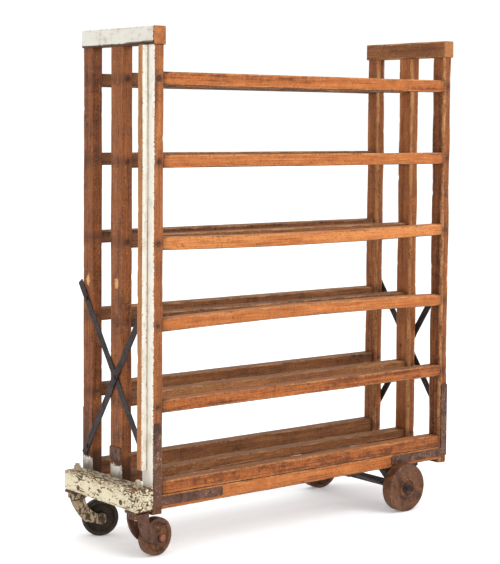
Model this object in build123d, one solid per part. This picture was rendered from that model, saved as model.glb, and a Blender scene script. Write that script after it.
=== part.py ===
"""Wooden rack trolley used as a book cart.

Two end frames of three posts each carry six open shelves of three long rails.
A bolster beam with two swivel casters stands under the left end, and a fixed axle
with two plain iron wheels under the right end.  Millimetres, +Z up, the floor at Z = 0,
and the origin in the middle of the footprint.
"""
from build123d import *
import os

# ---- driving dimensions: frame -------------------------------------------------
FRAME_LENGTH = 1436.0        # outer face to outer face of the posts, along X
FRAME_DEPTH = 436.0          # along Y
POST_THICK = 42.0            # post section along X
OUTER_POST_WIDE = 63.0       # front and rear posts, along Y
MIDDLE_POST_WIDE = 76.0      # middle posts, along Y
MIDDLE_POST_Y = {"left": 5.0, "right": -3.0}     # middles of the two middle posts
FOOT_Z = 152.0               # underside of the corner posts
POST_ARRIS = 3.0             # chamfer on the long edges

TOP_RAIL_HIGH = 64.0
TOP_RAIL_PROUD = 5.0         # how far the top rail stands past the post faces
TOP_Z = 1821.0
STUB_HIGH = 34.0             # stub tenons of the posts in the top rail
STUB_WIDE = 34.0
STUB_THICK = 12.0

LOWEST_SHELF_Z = 265.0       # top of the lowest shelf
SHELF_PITCH = 280.0
SHELF_COUNT = 6
RAIL_WIDE = 50.0             # along Y
RAIL_HIGH = 45.0
DEEP_RAIL_HIGH = 48.0        # front rail of the lowest shelf, and the highest shelf's rails
TOP_SHELF_LIFT = 3.0         # the highest shelf stands above the even pitch
MIDDLE_DROP = 5.0            # middle rails lie lower, save on the highest shelf
LOW_MIDDLE_RAIL_HIGH = 33.0  # middle rail of the lowest shelf
REAR_LIFT = {1: 8.0, 2: 5.0}     # rear rails of the two lowest shelves lie higher
FRONT_BOW = {3: 9.0, 4: -8.0}    # rise or sag halfway along two of the front rails
RAIL_ARRIS = 4.0
TENON_THICK = 10.0
TENON_SHOULDER = 3.0         # step above and below each tenon
TENON_OFFSET = 12.0          # from the middle of an outer rail towards its outer face
PEG_RADIUS = 5.0

SILL_BOTTOM_Z = 167.0
SILL_ARRIS = 3.0
BOTTOM_RAIL_DROP = 2.0       # the end rails stop short of the sills' tops

# ---- driving dimensions: bolster and rub batten ---------------------------------
BOLSTER_WIDE = 80.0          # along X
BOLSTER_BOTTOM_Z = 172.0
BOLSTER_FRONT_TOP_Z = 252.0
BOLSTER_REAR_TOP_Z = 244.0
BOLSTER_FRONT_Y = -226.0
BOLSTER_REAR_Y = 216.0
BOLSTER_BOLT_Y = (126.0, -142.0)
BOLSTER_BOLT_Z = 194.0
BOLSTER_BOLT_RADIUS = 5.0
BOLSTER_HEAD_RADIUS = 10.0
BOLSTER_HEAD_HIGH = 8.0
BOLSTER_NUT_RADIUS = 9.0
BOLSTER_NUT_HIGH = 6.0
BATTEN_OUT = 25.0            # batten section along X
BATTEN_WIDE = 30.0           # along Y
BATTEN_FRONT_Y = -186.0
BATTEN_BOTTOM_Z = 303.0
BATTEN_TOP_Z = 1756.0

# ---- driving dimensions: straps and irons ---------------------------------------
STRAP_WIDE = 28.0
STRAP_THICK = 4.0
STRAP_A = ((232.0, 922.0), (-170.0, 348.0))    # (Y, Z) of the ends
STRAP_B = ((-170.0, 862.0), (206.0, 295.0))
JOGGLE_HALF = 30.0           # half length of strap B's raised part at the crossing
JOGGLE_RAMP = 45.0
STRAP_A_BOLT_Y = 190.0
STRAP_B_BOLT_Y = 186.0
BRACE_BOLT_RADIUS = 4.0
BRACE_HEAD_RADIUS = 8.0
IRON_THICK = 5.0
IRON_LEG_WIDE = 32.0
IRON_LEG_TOP_Z = 467.0
IRON_FOOT_LONG = 300.0       # along X, from the outer edge of the vertical leg
IRON_FOOT_WIDE = 32.0
IRON_BOTTOM_Z = 180.0
PLATE_WIDE = 70.0
PLATE_Y = 5.0
PLATE_BOTTOM_Z = 306.0
PLATE_TOP_Z = 352.0
PLATE_SCREW_Z = 333.0
IRON_INSET = 3.0             # from the post's outer edge to the iron's
IRON_ARRIS = 1.5
LEG_SCREW_Z = (443.0, 400.0, 296.0)
MIDDLE_SCREW_ASIDE = 5.0     # the second screw stands off the leg's middle
FOOT_SCREW_X = (180.0, 290.0)    # from the iron's outer edge
SCREW_REACH = 30.0
SCREW_RADIUS = 3.0
SCREW_HEAD_RADIUS = 5.5
BATTEN_ARRIS = 2.0

# ---- driving dimensions: swivel casters -----------------------------------------
CASTER_WHEEL_RADIUS = 66.5
CASTER_RIM_WIDE = 36.0
CASTER_HUB_WIDE = 41.0
CASTER_TRAIL = 82.0
CASTER_Y = 190.0             # king bolts stand at -Y and +Y
CASTER_TURN = {"front": 9.0, "rear": -24.0}   # degrees, how each one stands at rest
FORK_GAP = 43.0
FORK_LEG_THICK = 9.0
FORK_TOP_Z = 163.0
CROWN_BOTTOM_Z = 145.0
TOP_PLATE_BOTTOM_Z = 164.0
CROWN_LONG = 48.0            # along the wheel's way
CROWN_RADIUS = 34.0
FORK_EYE_RADIUS = 20.0       # end of each leg, round the axle bolt
FORK_BOSS = (15.0, 3.0)      # radius and height
TOP_PLATE = (76.0, 50.0)
CASTER_RIM_INNER = 57.0
CASTER_WEB_HALF = 8.0
CASTER_HUB_RADIUS = 18.0
NUT_ACROSS = 24.0            # king-bolt and axle-bolt nuts
KING_RADIUS = 8.0
KING_HEAD = (13.0, 8.0)      # radius and height
KING_HEAD_Z = 136.0
KING_WASHER = (16.0, 4.0)
KING_NUT_HIGH = 12.0
KING_PROUD = 22.0            # from the washer's middle to the bolt's tip
BOLT_HEAD = (12.0, 7.0)
BOLT_NUT_HIGH = 8.0
RUNNING_CLEARANCE = 0.05     # radial, on every turning fit

# ---- driving dimensions: fixed axle ---------------------------------------------
AXLE_X = 453.0               # from the middle of the frame
WHEEL_RADIUS = 93.0
WHEEL_INNER_Y = 224.5
WHEEL_OUTER_Y = 269.0
HUB_INNER_Y = 220.5
HUB_OUTER_Y = 274.0
HUB_RADIUS = 38.0
HUB_RECESS_RADIUS = 30.0
AXLE_RADIUS = 15.0
JOURNAL_RADIUS = 12.0
AXLE_END_Y = 282.0
HANGER_Y = 193.0             # middle of each hanger
HANGER_WIDE = 44.0
HANGER_PLATE = (389.0, 563.0)
STAY_PAD = (197.0, 237.0)
HANGER_THICK = 8.0           # the plate under the sill
HANGER_LEG = 16.0            # width of each leg at the plate
BEARING_HALF = 24.0          # half length along X of the block round the axle
BEARING_Z = (68.0, 116.0)
LEG_FOOT_Z = 112.0
LEG_FOOT_HALF = 10.0
STAY_END_Z = (88.0, 96.0)
COLLAR_GAP = 4.0             # from each inner hub face to the thicker part of the axle
AXLE_RIM_INNER = 80.0
AXLE_WEB_HALF = 14.0
HUB_RECESS_DEEP = 8.0
AXLE_WASHER = (20.0, 3.0)
AXLE_NUT_ACROSS = 27.0
AXLE_NUT_HIGH = 10.0

# ---- worked out from the driving dimensions -------------------------------------
HEAD_HIGH = 4.0              # bolt heads on the straps
LEFT_MOST = -FRAME_LENGTH / 2 - BOLSTER_WIDE
RIGHT_MOST = FRAME_LENGTH / 2 + 2 * STRAP_THICK + HEAD_HIGH
SHIFT_X = -(LEFT_MOST + RIGHT_MOST) / 2        # brings the footprint's middle to X = 0
HALF_DEPTH = FRAME_DEPTH / 2
SILL_TOP_Z = LOWEST_SHELF_Z - DEEP_RAIL_HIGH
POST_OUT = FRAME_LENGTH / 2
POST_IN = POST_OUT - POST_THICK
TOP_RAIL_Z = TOP_Z - TOP_RAIL_HIGH
ENDS = {"left": -1, "right": 1}
ROWS = {"front": -1, "middle": 0, "rear": 1}

nodes = {}


def block(x, y, z):
    """Box between the pairs of bounds x, y and z, with X measured from the frame's middle."""
    size = [abs(high - low) for low, high in (x, y, z)]
    middle = [(low + high) / 2 for low, high in (x, y, z)]
    return Pos(middle[0] + SHIFT_X, middle[1], middle[2]) * Box(*size)


def rod(x, y, z, radius, length, axis="Z"):
    """Cylinder centred on a point of the frame, along X, Y or Z."""
    turn = {"X": Rot(0, 90, 0), "Y": Rot(90, 0, 0), "Z": Rot(0, 0, 0)}[axis]
    return Pos(x + SHIFT_X, y, z) * turn * Cylinder(radius, length)


def hexagon(x, y, z, across, length, axis="Z"):
    """Hexagonal nut blank centred on a point of the frame."""
    turn = {"X": Rot(0, 90, 0), "Y": Rot(90, 0, 0), "Z": Rot(0, 0, 0)}[axis]
    outline = RegularPolygon(across / 2, 6, major_radius=False)
    return Pos(x + SHIFT_X, y, z) * turn * Pos(0, 0, -length / 2) * extrude(outline, length)


def ease(solid, axis, amount):
    """Chamfer the long edges that run along an axis."""
    return chamfer(solid.edges().filter_by(axis), amount)


def rail_z(level, row):
    """Bottom and top of a shelf rail; level 1 is the lowest."""
    top = LOWEST_SHELF_Z + (level - 1) * SHELF_PITCH
    if level == SHELF_COUNT:
        return (top + TOP_SHELF_LIFT - DEEP_RAIL_HIGH, top + TOP_SHELF_LIFT)
    if level == 1 and row != "middle":
        return (SILL_TOP_Z, top + (REAR_LIFT[1] if row == "rear" else 0.0))
    if row == "middle":
        high = LOW_MIDDLE_RAIL_HIGH if level == 1 else RAIL_HIGH
        return (top - MIDDLE_DROP - high, top - MIDDLE_DROP)
    lift = REAR_LIFT.get(level, 0.0) if row == "rear" else 0.0
    return (top + lift - RAIL_HIGH, top + lift)


def post_y(row, end):
    """Front and rear bounds of a post along Y."""
    if row == "middle":
        middle = MIDDLE_POST_Y[end]
        return (middle - MIDDLE_POST_WIDE / 2, middle + MIDDLE_POST_WIDE / 2)
    inner = HALF_DEPTH - OUTER_POST_WIDE
    return (inner, HALF_DEPTH) if row == "rear" else (-HALF_DEPTH, -inner)


def rail_y(row):
    """Front and rear bounds of a shelf rail along Y."""
    if row == "middle":
        return (-RAIL_WIDE / 2, RAIL_WIDE / 2)
    inner = HALF_DEPTH - RAIL_WIDE
    return (inner, HALF_DEPTH) if row == "rear" else (-HALF_DEPTH, -inner)


def tenon_y(row):
    """Front and rear bounds of a rail's tenon along Y."""
    middle = sum(rail_y(row)) / 2 + ROWS[row] * TENON_OFFSET
    return (middle - TENON_THICK / 2, middle + TENON_THICK / 2)


def tenons(row, bottom, top):
    """Tenons that pass right through both posts of a row."""
    z = (bottom + TENON_SHOULDER, top - TENON_SHOULDER)
    return [block((side * POST_IN, side * POST_OUT), tenon_y(row), z) for side in ENDS.values()]


def bowed(row, bottom, top, bow, arris):
    """Rail body whose top and bottom rise to an arc halfway along."""
    low, high = rail_y(row)
    outline = [Line((-POST_IN, bottom), (-POST_IN, top)), Line((POST_IN, top), (POST_IN, bottom)),
               ThreePointArc((-POST_IN, top), (0, top + bow), (POST_IN, top)),
               ThreePointArc((POST_IN, bottom), (0, bottom + bow), (-POST_IN, bottom))]
    side_view = Plane(origin=(SHIFT_X, high, 0), x_dir=(1, 0, 0), z_dir=(0, -1, 0))
    body = extrude(side_view * make_face(outline), high - low)
    return chamfer(body.edges().filter_by(GeomType.CIRCLE), arris)


def long_member(row, bottom, top, arris, bow=0.0):
    """Long rail or sill with its arrises eased and a through tenon at each end."""
    if bow:
        body = bowed(row, bottom, top, bow, arris)
    else:
        body = ease(block((-POST_IN, POST_IN), rail_y(row), (bottom, top)), Axis.X, arris)
    for tenon in tenons(row, bottom, top):
        body += tenon
    return body


def make_posts():
    """Six posts, with stub tenons at the top; the middle ones stand on the bottom rails."""
    for end, side in ENDS.items():
        for row in ROWS:
            low, high = post_y(row, end)
            bottom = SILL_TOP_Z - BOTTOM_RAIL_DROP if row == "middle" else FOOT_Z
            body = block((side * POST_IN, side * POST_OUT), (low, high), (bottom, TOP_RAIL_Z))
            nodes[f"{end}_{row}_post"] = ease(body, Axis.Z, POST_ARRIS) + stub(end, row)


def stub(end, row):
    """Stub tenon of a post inside the top rail."""
    x, y = ENDS[end] * (POST_IN + POST_OUT) / 2, sum(post_y(row, end)) / 2
    return block((x - STUB_THICK / 2, x + STUB_THICK / 2), (y - STUB_WIDE / 2, y + STUB_WIDE / 2),
                 (TOP_RAIL_Z, TOP_RAIL_Z + STUB_HIGH))


def make_top_rails():
    """A rail across the heads of the three posts at each end."""
    for end, side in ENDS.items():
        x = (side * (POST_IN - TOP_RAIL_PROUD), side * (POST_OUT + TOP_RAIL_PROUD))
        y = (-HALF_DEPTH - 3.0, HALF_DEPTH + 3.0)
        rail = block(x, y, (TOP_RAIL_Z, TOP_Z))
        rail = chamfer(rail.edges().filter_by(Axis.Y) + rail.edges().filter_by(Axis.Z), RAIL_ARRIS)
        for row in ROWS:
            rail -= stub(end, row)
        nodes[f"{end}_top_rail"] = rail


def make_shelves():
    """Six shelves of three long rails, tenoned through the posts."""
    for level in range(1, SHELF_COUNT + 1):
        for row in ROWS:
            bottom, top = rail_z(level, row)
            bow = FRONT_BOW.get(level, 0.0) if row == "front" else 0.0
            nodes[f"shelf_{level}_{row}_rail"] = long_member(row, bottom, top, RAIL_ARRIS, bow)
            for end, side in ENDS.items():
                for tenon in tenons(row, bottom, top):
                    nodes[f"{end}_{row}_post"] -= tenon


def make_base():
    """Sills under the lowest front and rear rails, and a bottom rail across each end."""
    top = SILL_TOP_Z
    for row in ("front", "rear"):
        nodes[f"{row}_sill"] = long_member(row, SILL_BOTTOM_Z, top, SILL_ARRIS)
        for end in ENDS:
            for tenon in tenons(row, SILL_BOTTOM_Z, top):
                nodes[f"{end}_{row}_post"] -= tenon
    inner = HALF_DEPTH - OUTER_POST_WIDE
    for end, side in ENDS.items():
        rail = block((side * POST_IN, side * POST_OUT), (-inner, inner),
                     (SILL_BOTTOM_Z, top - BOTTOM_RAIL_DROP))
        nodes[f"{end}_bottom_rail"] = ease(rail, Axis.Y, SILL_ARRIS)


def make_pegs():
    """Wooden pegs along Y that lock every shelf tenon in its post."""
    pegs = []
    for end, side in ENDS.items():
        for row in ROWS:
            low, high = post_y(row, end)
            for level in range(1, SHELF_COUNT + 1):
                z = sum(rail_z(level, row)) / 2
                peg = rod(side * (POST_IN + POST_OUT) / 2, (low + high) / 2, z,
                          PEG_RADIUS, high - low, "Y")
                nodes[f"{end}_{row}_post"] -= peg
                nodes[f"shelf_{level}_{row}_rail"] -= peg
                pegs.append(peg)
    nodes["tenon_pegs"] = Compound(pegs)


def make_bolster():
    """Beam across the left end that carries the casters; its top falls towards the rear."""
    outline = Polyline((BOLSTER_FRONT_Y, BOLSTER_BOTTOM_Z), (BOLSTER_REAR_Y, BOLSTER_BOTTOM_Z),
                       (BOLSTER_REAR_Y, BOLSTER_REAR_TOP_Z), (BOLSTER_FRONT_Y, BOLSTER_FRONT_TOP_Z),
                       close=True)
    start = Plane(origin=(-POST_OUT + SHIFT_X, 0, 0), x_dir=(0, 1, 0), z_dir=(1, 0, 0))
    beam = extrude(start * make_face(outline), -BOLSTER_WIDE)
    nodes["bolster_beam"] = chamfer(beam.edges(), RAIL_ARRIS)


def make_bolster_bolts():
    """Two coach bolts that hold the bolster to the left bottom rail."""
    bolts = []
    outer, inner = LEFT_MOST, -POST_IN
    under_head = outer + BOLSTER_HEAD_HIGH
    for y in BOLSTER_BOLT_Y:
        z = BOLSTER_BOLT_Z
        shank = rod((under_head + inner) / 2, y, z, BOLSTER_BOLT_RADIUS, inner - under_head, "X")
        head = rod((outer + under_head) / 2, y, z, BOLSTER_HEAD_RADIUS, BOLSTER_HEAD_HIGH, "X")
        bolt = shank + head
        nodes["bolster_beam"] -= bolt
        nodes["left_bottom_rail"] -= bolt
        nut = rod(inner + BOLSTER_NUT_HIGH / 2, y, z, BOLSTER_NUT_RADIUS, BOLSTER_NUT_HIGH, "X")
        bolts.append(bolt + nut)
    nodes["bolster_bolts"] = Compound(bolts)


def strap(ends, side, joggle):
    """Flat strap between two (Y, Z) ends on the outer face of an end frame.

    The strap is drawn flat, from its first end along local X, and then stood against
    the posts.  With a joggle it rises by its own thickness over the other strap.
    """
    (y0, z0), (y1, z1) = ends
    length = ((y1 - y0) ** 2 + (z1 - z0) ** 2) ** 0.5
    t = STRAP_THICK
    if joggle is None:
        side_view = [(0, 0), (length, 0), (length, t), (0, t)]
    else:
        near, far = joggle - JOGGLE_HALF, joggle + JOGGLE_HALF
        start, stop = near - JOGGLE_RAMP, far + JOGGLE_RAMP
        side_view = [(0, 0), (start, 0), (near, t), (far, t), (stop, 0), (length, 0),
                     (length, t), (stop, t), (far, 2 * t), (near, 2 * t), (start, t), (0, t)]
    along = Vector(0, (y1 - y0) / length, (z1 - z0) / length)
    out = Vector(side, 0, 0)
    width = along.cross(out)
    plane = Plane(origin=(side * POST_OUT + SHIFT_X, y0, z0), x_dir=along, z_dir=width)
    flat = plane * make_face(Polyline(*side_view, close=True))
    if (plane.y_dir - out).length > 1e-6:
        raise ValueError("strap side view is upside down")
    return extrude(flat, STRAP_WIDE / 2, both=True)


def strap_height(ends, y):
    """Z of a strap's centre line at a given Y."""
    (y0, z0), (y1, z1) = ends
    return z0 + (z1 - z0) * (y - y0) / (y1 - y0)


def crossing():
    """(Y, Z) where the two straps' centre lines cross."""
    slope_a = (STRAP_A[1][1] - STRAP_A[0][1]) / (STRAP_A[1][0] - STRAP_A[0][0])
    slope_b = (STRAP_B[1][1] - STRAP_B[0][1]) / (STRAP_B[1][0] - STRAP_B[0][0])
    rise = STRAP_B[0][1] - STRAP_A[0][1]
    y = (rise + slope_a * STRAP_A[0][0] - slope_b * STRAP_B[0][0]) / (slope_a - slope_b)
    return y, strap_height(STRAP_A, y)


def make_braces():
    """Crossed iron straps on each end frame, with the bolts that hold them."""
    cross_y, cross_z = crossing()
    start_y, start_z = STRAP_B[0]
    along = ((cross_y - start_y) ** 2 + (cross_z - start_z) ** 2) ** 0.5
    bolts = []
    for end, side in ENDS.items():
        nodes[f"{end}_brace_a"] = strap(STRAP_A, side, None)
        nodes[f"{end}_brace_b"] = strap(STRAP_B, side, along)
        a_z = strap_height(STRAP_A, STRAP_A_BOLT_Y)
        b_z = strap_height(STRAP_B, STRAP_B_BOLT_Y)
        places = [("rear", STRAP_A_BOLT_Y, a_z, STRAP_THICK, ("a",)),
                  ("rear", STRAP_B_BOLT_Y, b_z, STRAP_THICK, ("b",)),
                  ("middle", cross_y, cross_z, 2 * STRAP_THICK, ("a", "b"))]
        for row, y, z, stack, straps in places:
            face = POST_OUT + stack
            reach = face - POST_IN
            shank = rod(side * (face + POST_IN) / 2, y, z, BRACE_BOLT_RADIUS, reach, "X")
            nodes[f"{end}_{row}_post"] -= shank
            for letter in straps:
                nodes[f"{end}_brace_{letter}"] -= shank
            head_x = side * (face + HEAD_HIGH / 2)
            bolts.append(shank + rod(head_x, y, z, BRACE_HEAD_RADIUS, HEAD_HIGH, "X"))
    nodes["brace_bolts"] = Compound(bolts)


def make_rub_batten():
    """Square batten on the left front post, notched over the ends of the straps."""
    batten = block((-POST_OUT - BATTEN_OUT, -POST_OUT),
                   (BATTEN_FRONT_Y, BATTEN_FRONT_Y + BATTEN_WIDE), (BATTEN_BOTTOM_Z, BATTEN_TOP_Z))
    batten = ease(batten, Axis.Z, BATTEN_ARRIS)
    nodes["rub_batten"] = batten - nodes["left_brace_a"] - nodes["left_brace_b"]


def make_corner_irons():
    """L-shaped irons across the front and rear corners, each with five countersunk screws."""
    screws = []
    middle_z = IRON_BOTTOM_Z + IRON_FOOT_WIDE / 2
    for end, side in ENDS.items():
        for row in ("front", "rear"):
            face = ROWS[row] * HALF_DEPTH
            y = (face, face + ROWS[row] * IRON_THICK)
            outer = side * (POST_OUT - IRON_INSET)
            leg = block((outer, outer - side * IRON_LEG_WIDE), y, (IRON_BOTTOM_Z, IRON_LEG_TOP_Z))
            foot = block((outer, outer - side * IRON_FOOT_LONG), y,
                         (IRON_BOTTOM_Z, IRON_BOTTOM_Z + IRON_FOOT_WIDE))
            iron = chamfer((leg + foot).edges().filter_by(Axis.Y), IRON_ARRIS)
            leg_x = outer - side * IRON_LEG_WIDE / 2
            aside = (0.0, side * MIDDLE_SCREW_ASIDE, 0.0)
            places = [(leg_x - shift, z, f"{end}_{row}_post")
                      for shift, z in zip(aside, LEG_SCREW_Z)]
            places += [(outer - side * x, middle_z, f"{row}_sill") for x in FOOT_SCREW_X]
            for x, z, host in places:
                shank_y = face - ROWS[row] * SCREW_REACH / 2
                head_y = face + ROWS[row] * IRON_THICK / 2
                shank = rod(x, shank_y, z, SCREW_RADIUS, SCREW_REACH, "Y")
                screw = shank + rod(x, head_y, z, SCREW_HEAD_RADIUS, IRON_THICK, "Y")
                iron -= screw
                nodes[host] -= screw
                screws.append(screw)
            nodes[f"{end}_{row}_corner_iron"] = iron
    return screws


def make_post_plate():
    """Iron plate low on the left middle post, with one screw in the middle."""
    plate = block((-POST_OUT - STRAP_THICK, -POST_OUT),
                  (PLATE_Y - PLATE_WIDE / 2, PLATE_Y + PLATE_WIDE / 2),
                  (PLATE_BOTTOM_Z, PLATE_TOP_Z))
    plate = chamfer(plate.edges().filter_by(Axis.X), 3.0)
    screw = rod(-POST_OUT + 8.0, PLATE_Y, PLATE_SCREW_Z, BRACE_BOLT_RADIUS, 24.0, "X")
    nodes["left_middle_post"] -= screw
    nodes["post_plate"] = plate - screw
    return screw + rod(-POST_OUT - STRAP_THICK - 1.5, PLATE_Y, PLATE_SCREW_Z, 7.0, 3.0, "X")


def caster_place(row):
    """Location of a caster: local origin on the king bolt at the floor, wheel along local +X."""
    x = -POST_OUT - 41.0 + SHIFT_X
    return Pos(x, ROWS[row] * CASTER_Y, 0) * Rot(0, 0, CASTER_TURN[row])


def fork_leg():
    """Side view of one fork leg: a curved arm that sweeps back from the crown to the axle."""
    half, heel_z = CROWN_LONG / 2, 140.0
    back, toe_low, toe_high = CASTER_TRAIL - 10.0, 49.0, 84.0
    outline = [Line((half, heel_z), (half, FORK_TOP_Z)),
               Line((half, FORK_TOP_Z), (-half, FORK_TOP_Z)),
               Line((-half, FORK_TOP_Z), (-half, heel_z)),
               ThreePointArc((-half, heel_z), (-12, 104), (half, 60)),
               Line((half, 60), (back, toe_low)),
               Line((back, toe_low), (back, toe_high)),
               ThreePointArc((back, toe_high), (42, 104), (half, heel_z))]
    return make_face(outline) + Pos(CASTER_TRAIL, CASTER_WHEEL_RADIUS) * Circle(FORK_EYE_RADIUS)


def make_fork():
    """Crown with a hole for the king bolt and two legs with holes for the axle bolt."""
    side_plane = Plane(origin=(0, 0, 0), x_dir=(1, 0, 0), z_dir=(0, -1, 0))
    inner, outer = FORK_GAP / 2, FORK_GAP / 2 + FORK_LEG_THICK
    crown_high = FORK_TOP_Z - CROWN_BOTTOM_Z
    crown = Box(CROWN_LONG, 2 * outer, crown_high) + Cylinder(CROWN_RADIUS, crown_high)
    fork = Pos(0, 0, CROWN_BOTTOM_Z + crown_high / 2) * crown
    for start in (inner, -outer):
        leg = extrude(side_plane * fork_leg(), FORK_LEG_THICK)
        fork += Pos(0, start + FORK_LEG_THICK, 0) * leg
    axle = Pos(CASTER_TRAIL, 0, CASTER_WHEEL_RADIUS) * Rot(90, 0, 0)
    boss_radius, boss_high = FORK_BOSS
    for side in (-1, 1):
        fork += axle * Pos(0, 0, side * (outer + boss_high / 2)) * Cylinder(boss_radius, boss_high)
    fork -= Pos(0, 0, FORK_TOP_Z) * Cylinder(KING_RADIUS + RUNNING_CLEARANCE, 3 * crown_high)
    return fork - axle * Cylinder(KING_RADIUS, 3 * outer)


def turned_wheel(radius, rim_half, rim_inner, web_half, hub_radius, hub_half, bore, hub_shift=0.0):
    """Dished iron wheel on a local Y axis: rim, sunk web and hub, turned as one profile."""
    profile = Polyline((bore, -hub_half + hub_shift), (hub_radius, -hub_half + hub_shift),
                       (hub_radius + 3, -web_half), (rim_inner - 5, -web_half), (rim_inner, -rim_half),
                       (radius - 2, -rim_half), (radius, -rim_half + 2), (radius, rim_half - 2),
                       (radius - 2, rim_half), (rim_inner, rim_half), (rim_inner - 5, web_half),
                       (hub_radius + 3, web_half), (hub_radius, hub_half + hub_shift),
                       (bore, hub_half + hub_shift), close=True)
    return revolve(make_face(profile), Axis.Y)


def nut_blank(across, high):
    """Hexagonal nut that stands on the local XY plane."""
    return extrude(RegularPolygon(across / 2, 6, major_radius=False), high)


def king_bolt(row):
    """Shank and head of a king bolt, with its washer and nut, about a local Z axis."""
    beam_top = BOLSTER_FRONT_TOP_Z if row == "front" else BOLSTER_REAR_TOP_Z
    washer_z = beam_top + 1.0
    length = washer_z + KING_PROUD - KING_HEAD_Z
    shank = Pos(0, 0, KING_HEAD_Z + length / 2) * Cylinder(KING_RADIUS, length)
    head = Pos(0, 0, KING_HEAD_Z + KING_HEAD[1] / 2) * Cylinder(*KING_HEAD)
    washer = Pos(0, 0, washer_z) * Cylinder(*KING_WASHER)
    nut = Pos(0, 0, washer_z + KING_WASHER[1] / 2) * nut_blank(NUT_ACROSS, KING_NUT_HIGH)
    return shank, head, washer, nut


def axle_bolt():
    """Bolt through a fork, with its head on one side and its nut on the other."""
    face = FORK_GAP / 2 + FORK_LEG_THICK + FORK_BOSS[1]
    head_radius, head_high = BOLT_HEAD
    bolt = Cylinder(KING_RADIUS, 2 * (face + head_high))
    bolt += Pos(0, 0, face + head_high / 2) * Cylinder(head_radius, head_high)
    return bolt + Pos(0, 0, -face - BOLT_NUT_HIGH) * nut_blank(NUT_ACROSS, BOLT_NUT_HIGH)


def make_casters():
    """Swivel casters: top plate, king bolt and nut, fork, axle bolt and wheel."""
    plates, kings, nuts = [], [], []
    plate_high = BOLSTER_BOTTOM_Z - TOP_PLATE_BOTTOM_Z
    for row in ("front", "rear"):
        place = caster_place(row)
        upright = Pos(place.position)
        plate = Pos(0, 0, TOP_PLATE_BOTTOM_Z + plate_high / 2) * Box(*TOP_PLATE, plate_high)
        shank, head, washer, nut = (upright * piece for piece in king_bolt(row))
        nodes["bolster_beam"] -= shank + washer
        plates.append(upright * plate - shank)
        kings.append(shank + head)
        nuts.append(washer + nut - shank)
        axle = place * Pos(CASTER_TRAIL, 0, CASTER_WHEEL_RADIUS)
        nodes[f"{row}_caster_fork"] = place * make_fork()
        nodes[f"{row}_caster_axle_bolt"] = axle * Rot(90, 0, 0) * axle_bolt()
        wheel = turned_wheel(CASTER_WHEEL_RADIUS, CASTER_RIM_WIDE / 2, CASTER_RIM_INNER,
                             CASTER_WEB_HALF, CASTER_HUB_RADIUS, CASTER_HUB_WIDE / 2,
                             KING_RADIUS + RUNNING_CLEARANCE)
        nodes[f"{row}_caster_wheel"] = axle * wheel
    nodes["caster_top_plates"] = Compound(plates)
    nodes["king_bolts"] = Compound(kings)
    nodes["king_bolt_nuts"] = Compound(nuts)


def make_axle():
    """Fixed axle bar under the right end, with turned journals and threaded ends."""
    bar = rod(AXLE_X, 0, WHEEL_RADIUS, AXLE_RADIUS, 2 * (HUB_INNER_Y - COLLAR_GAP), "Y")
    journals = rod(AXLE_X, 0, WHEEL_RADIUS, JOURNAL_RADIUS, 2 * AXLE_END_Y, "Y")
    nodes["fixed_axle"] = bar + journals
    nodes["axle_hangers"] = Compound([hanger(side) for side in (-1, 1)])
    nodes["axle_stays"] = Compound([stay(side) for side in (-1, 1)])


def hanger_plane(side):
    """Plane of the XZ outlines of a hanger and its stay, at the hanger's rear face."""
    rear = side * HANGER_Y + HANGER_WIDE / 2
    return Plane(origin=(SHIFT_X, rear, 0), x_dir=(1, 0, 0), z_dir=(0, -1, 0))


def hanger(side):
    """Plate under a sill, two legs that lean together, and a block round the axle."""
    y = (side * HANGER_Y - HANGER_WIDE / 2, side * HANGER_Y + HANGER_WIDE / 2)
    under = SILL_BOTTOM_Z - HANGER_THICK
    body = block(HANGER_PLATE, y, (under, SILL_BOTTOM_Z))
    body += block((AXLE_X - BEARING_HALF, AXLE_X + BEARING_HALF), y, BEARING_Z)
    for edge, way in zip(HANGER_PLATE, (1, -1)):
        leg = Polyline((edge, under), (edge + way * HANGER_LEG, under),
                       (AXLE_X - way * LEG_FOOT_HALF, LEG_FOOT_Z),
                       (AXLE_X - way * BEARING_HALF, LEG_FOOT_Z), close=True)
        body += extrude(hanger_plane(side) * make_face(leg), HANGER_WIDE)
    return body - nodes["fixed_axle"]


def stay(side):
    """Flat bar that slopes from a pad under the sill down to the axle's block."""
    low, high = STAY_PAD
    under = SILL_BOTTOM_Z - HANGER_THICK + 1.0
    end_x = AXLE_X - BEARING_HALF
    flat = Polyline((low, under), (low, SILL_BOTTOM_Z), (high, SILL_BOTTOM_Z),
                    (end_x, STAY_END_Z[1]), (end_x, STAY_END_Z[0]), (high - 2, under), close=True)
    return extrude(hanger_plane(side) * make_face(flat), HANGER_WIDE)


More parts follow.
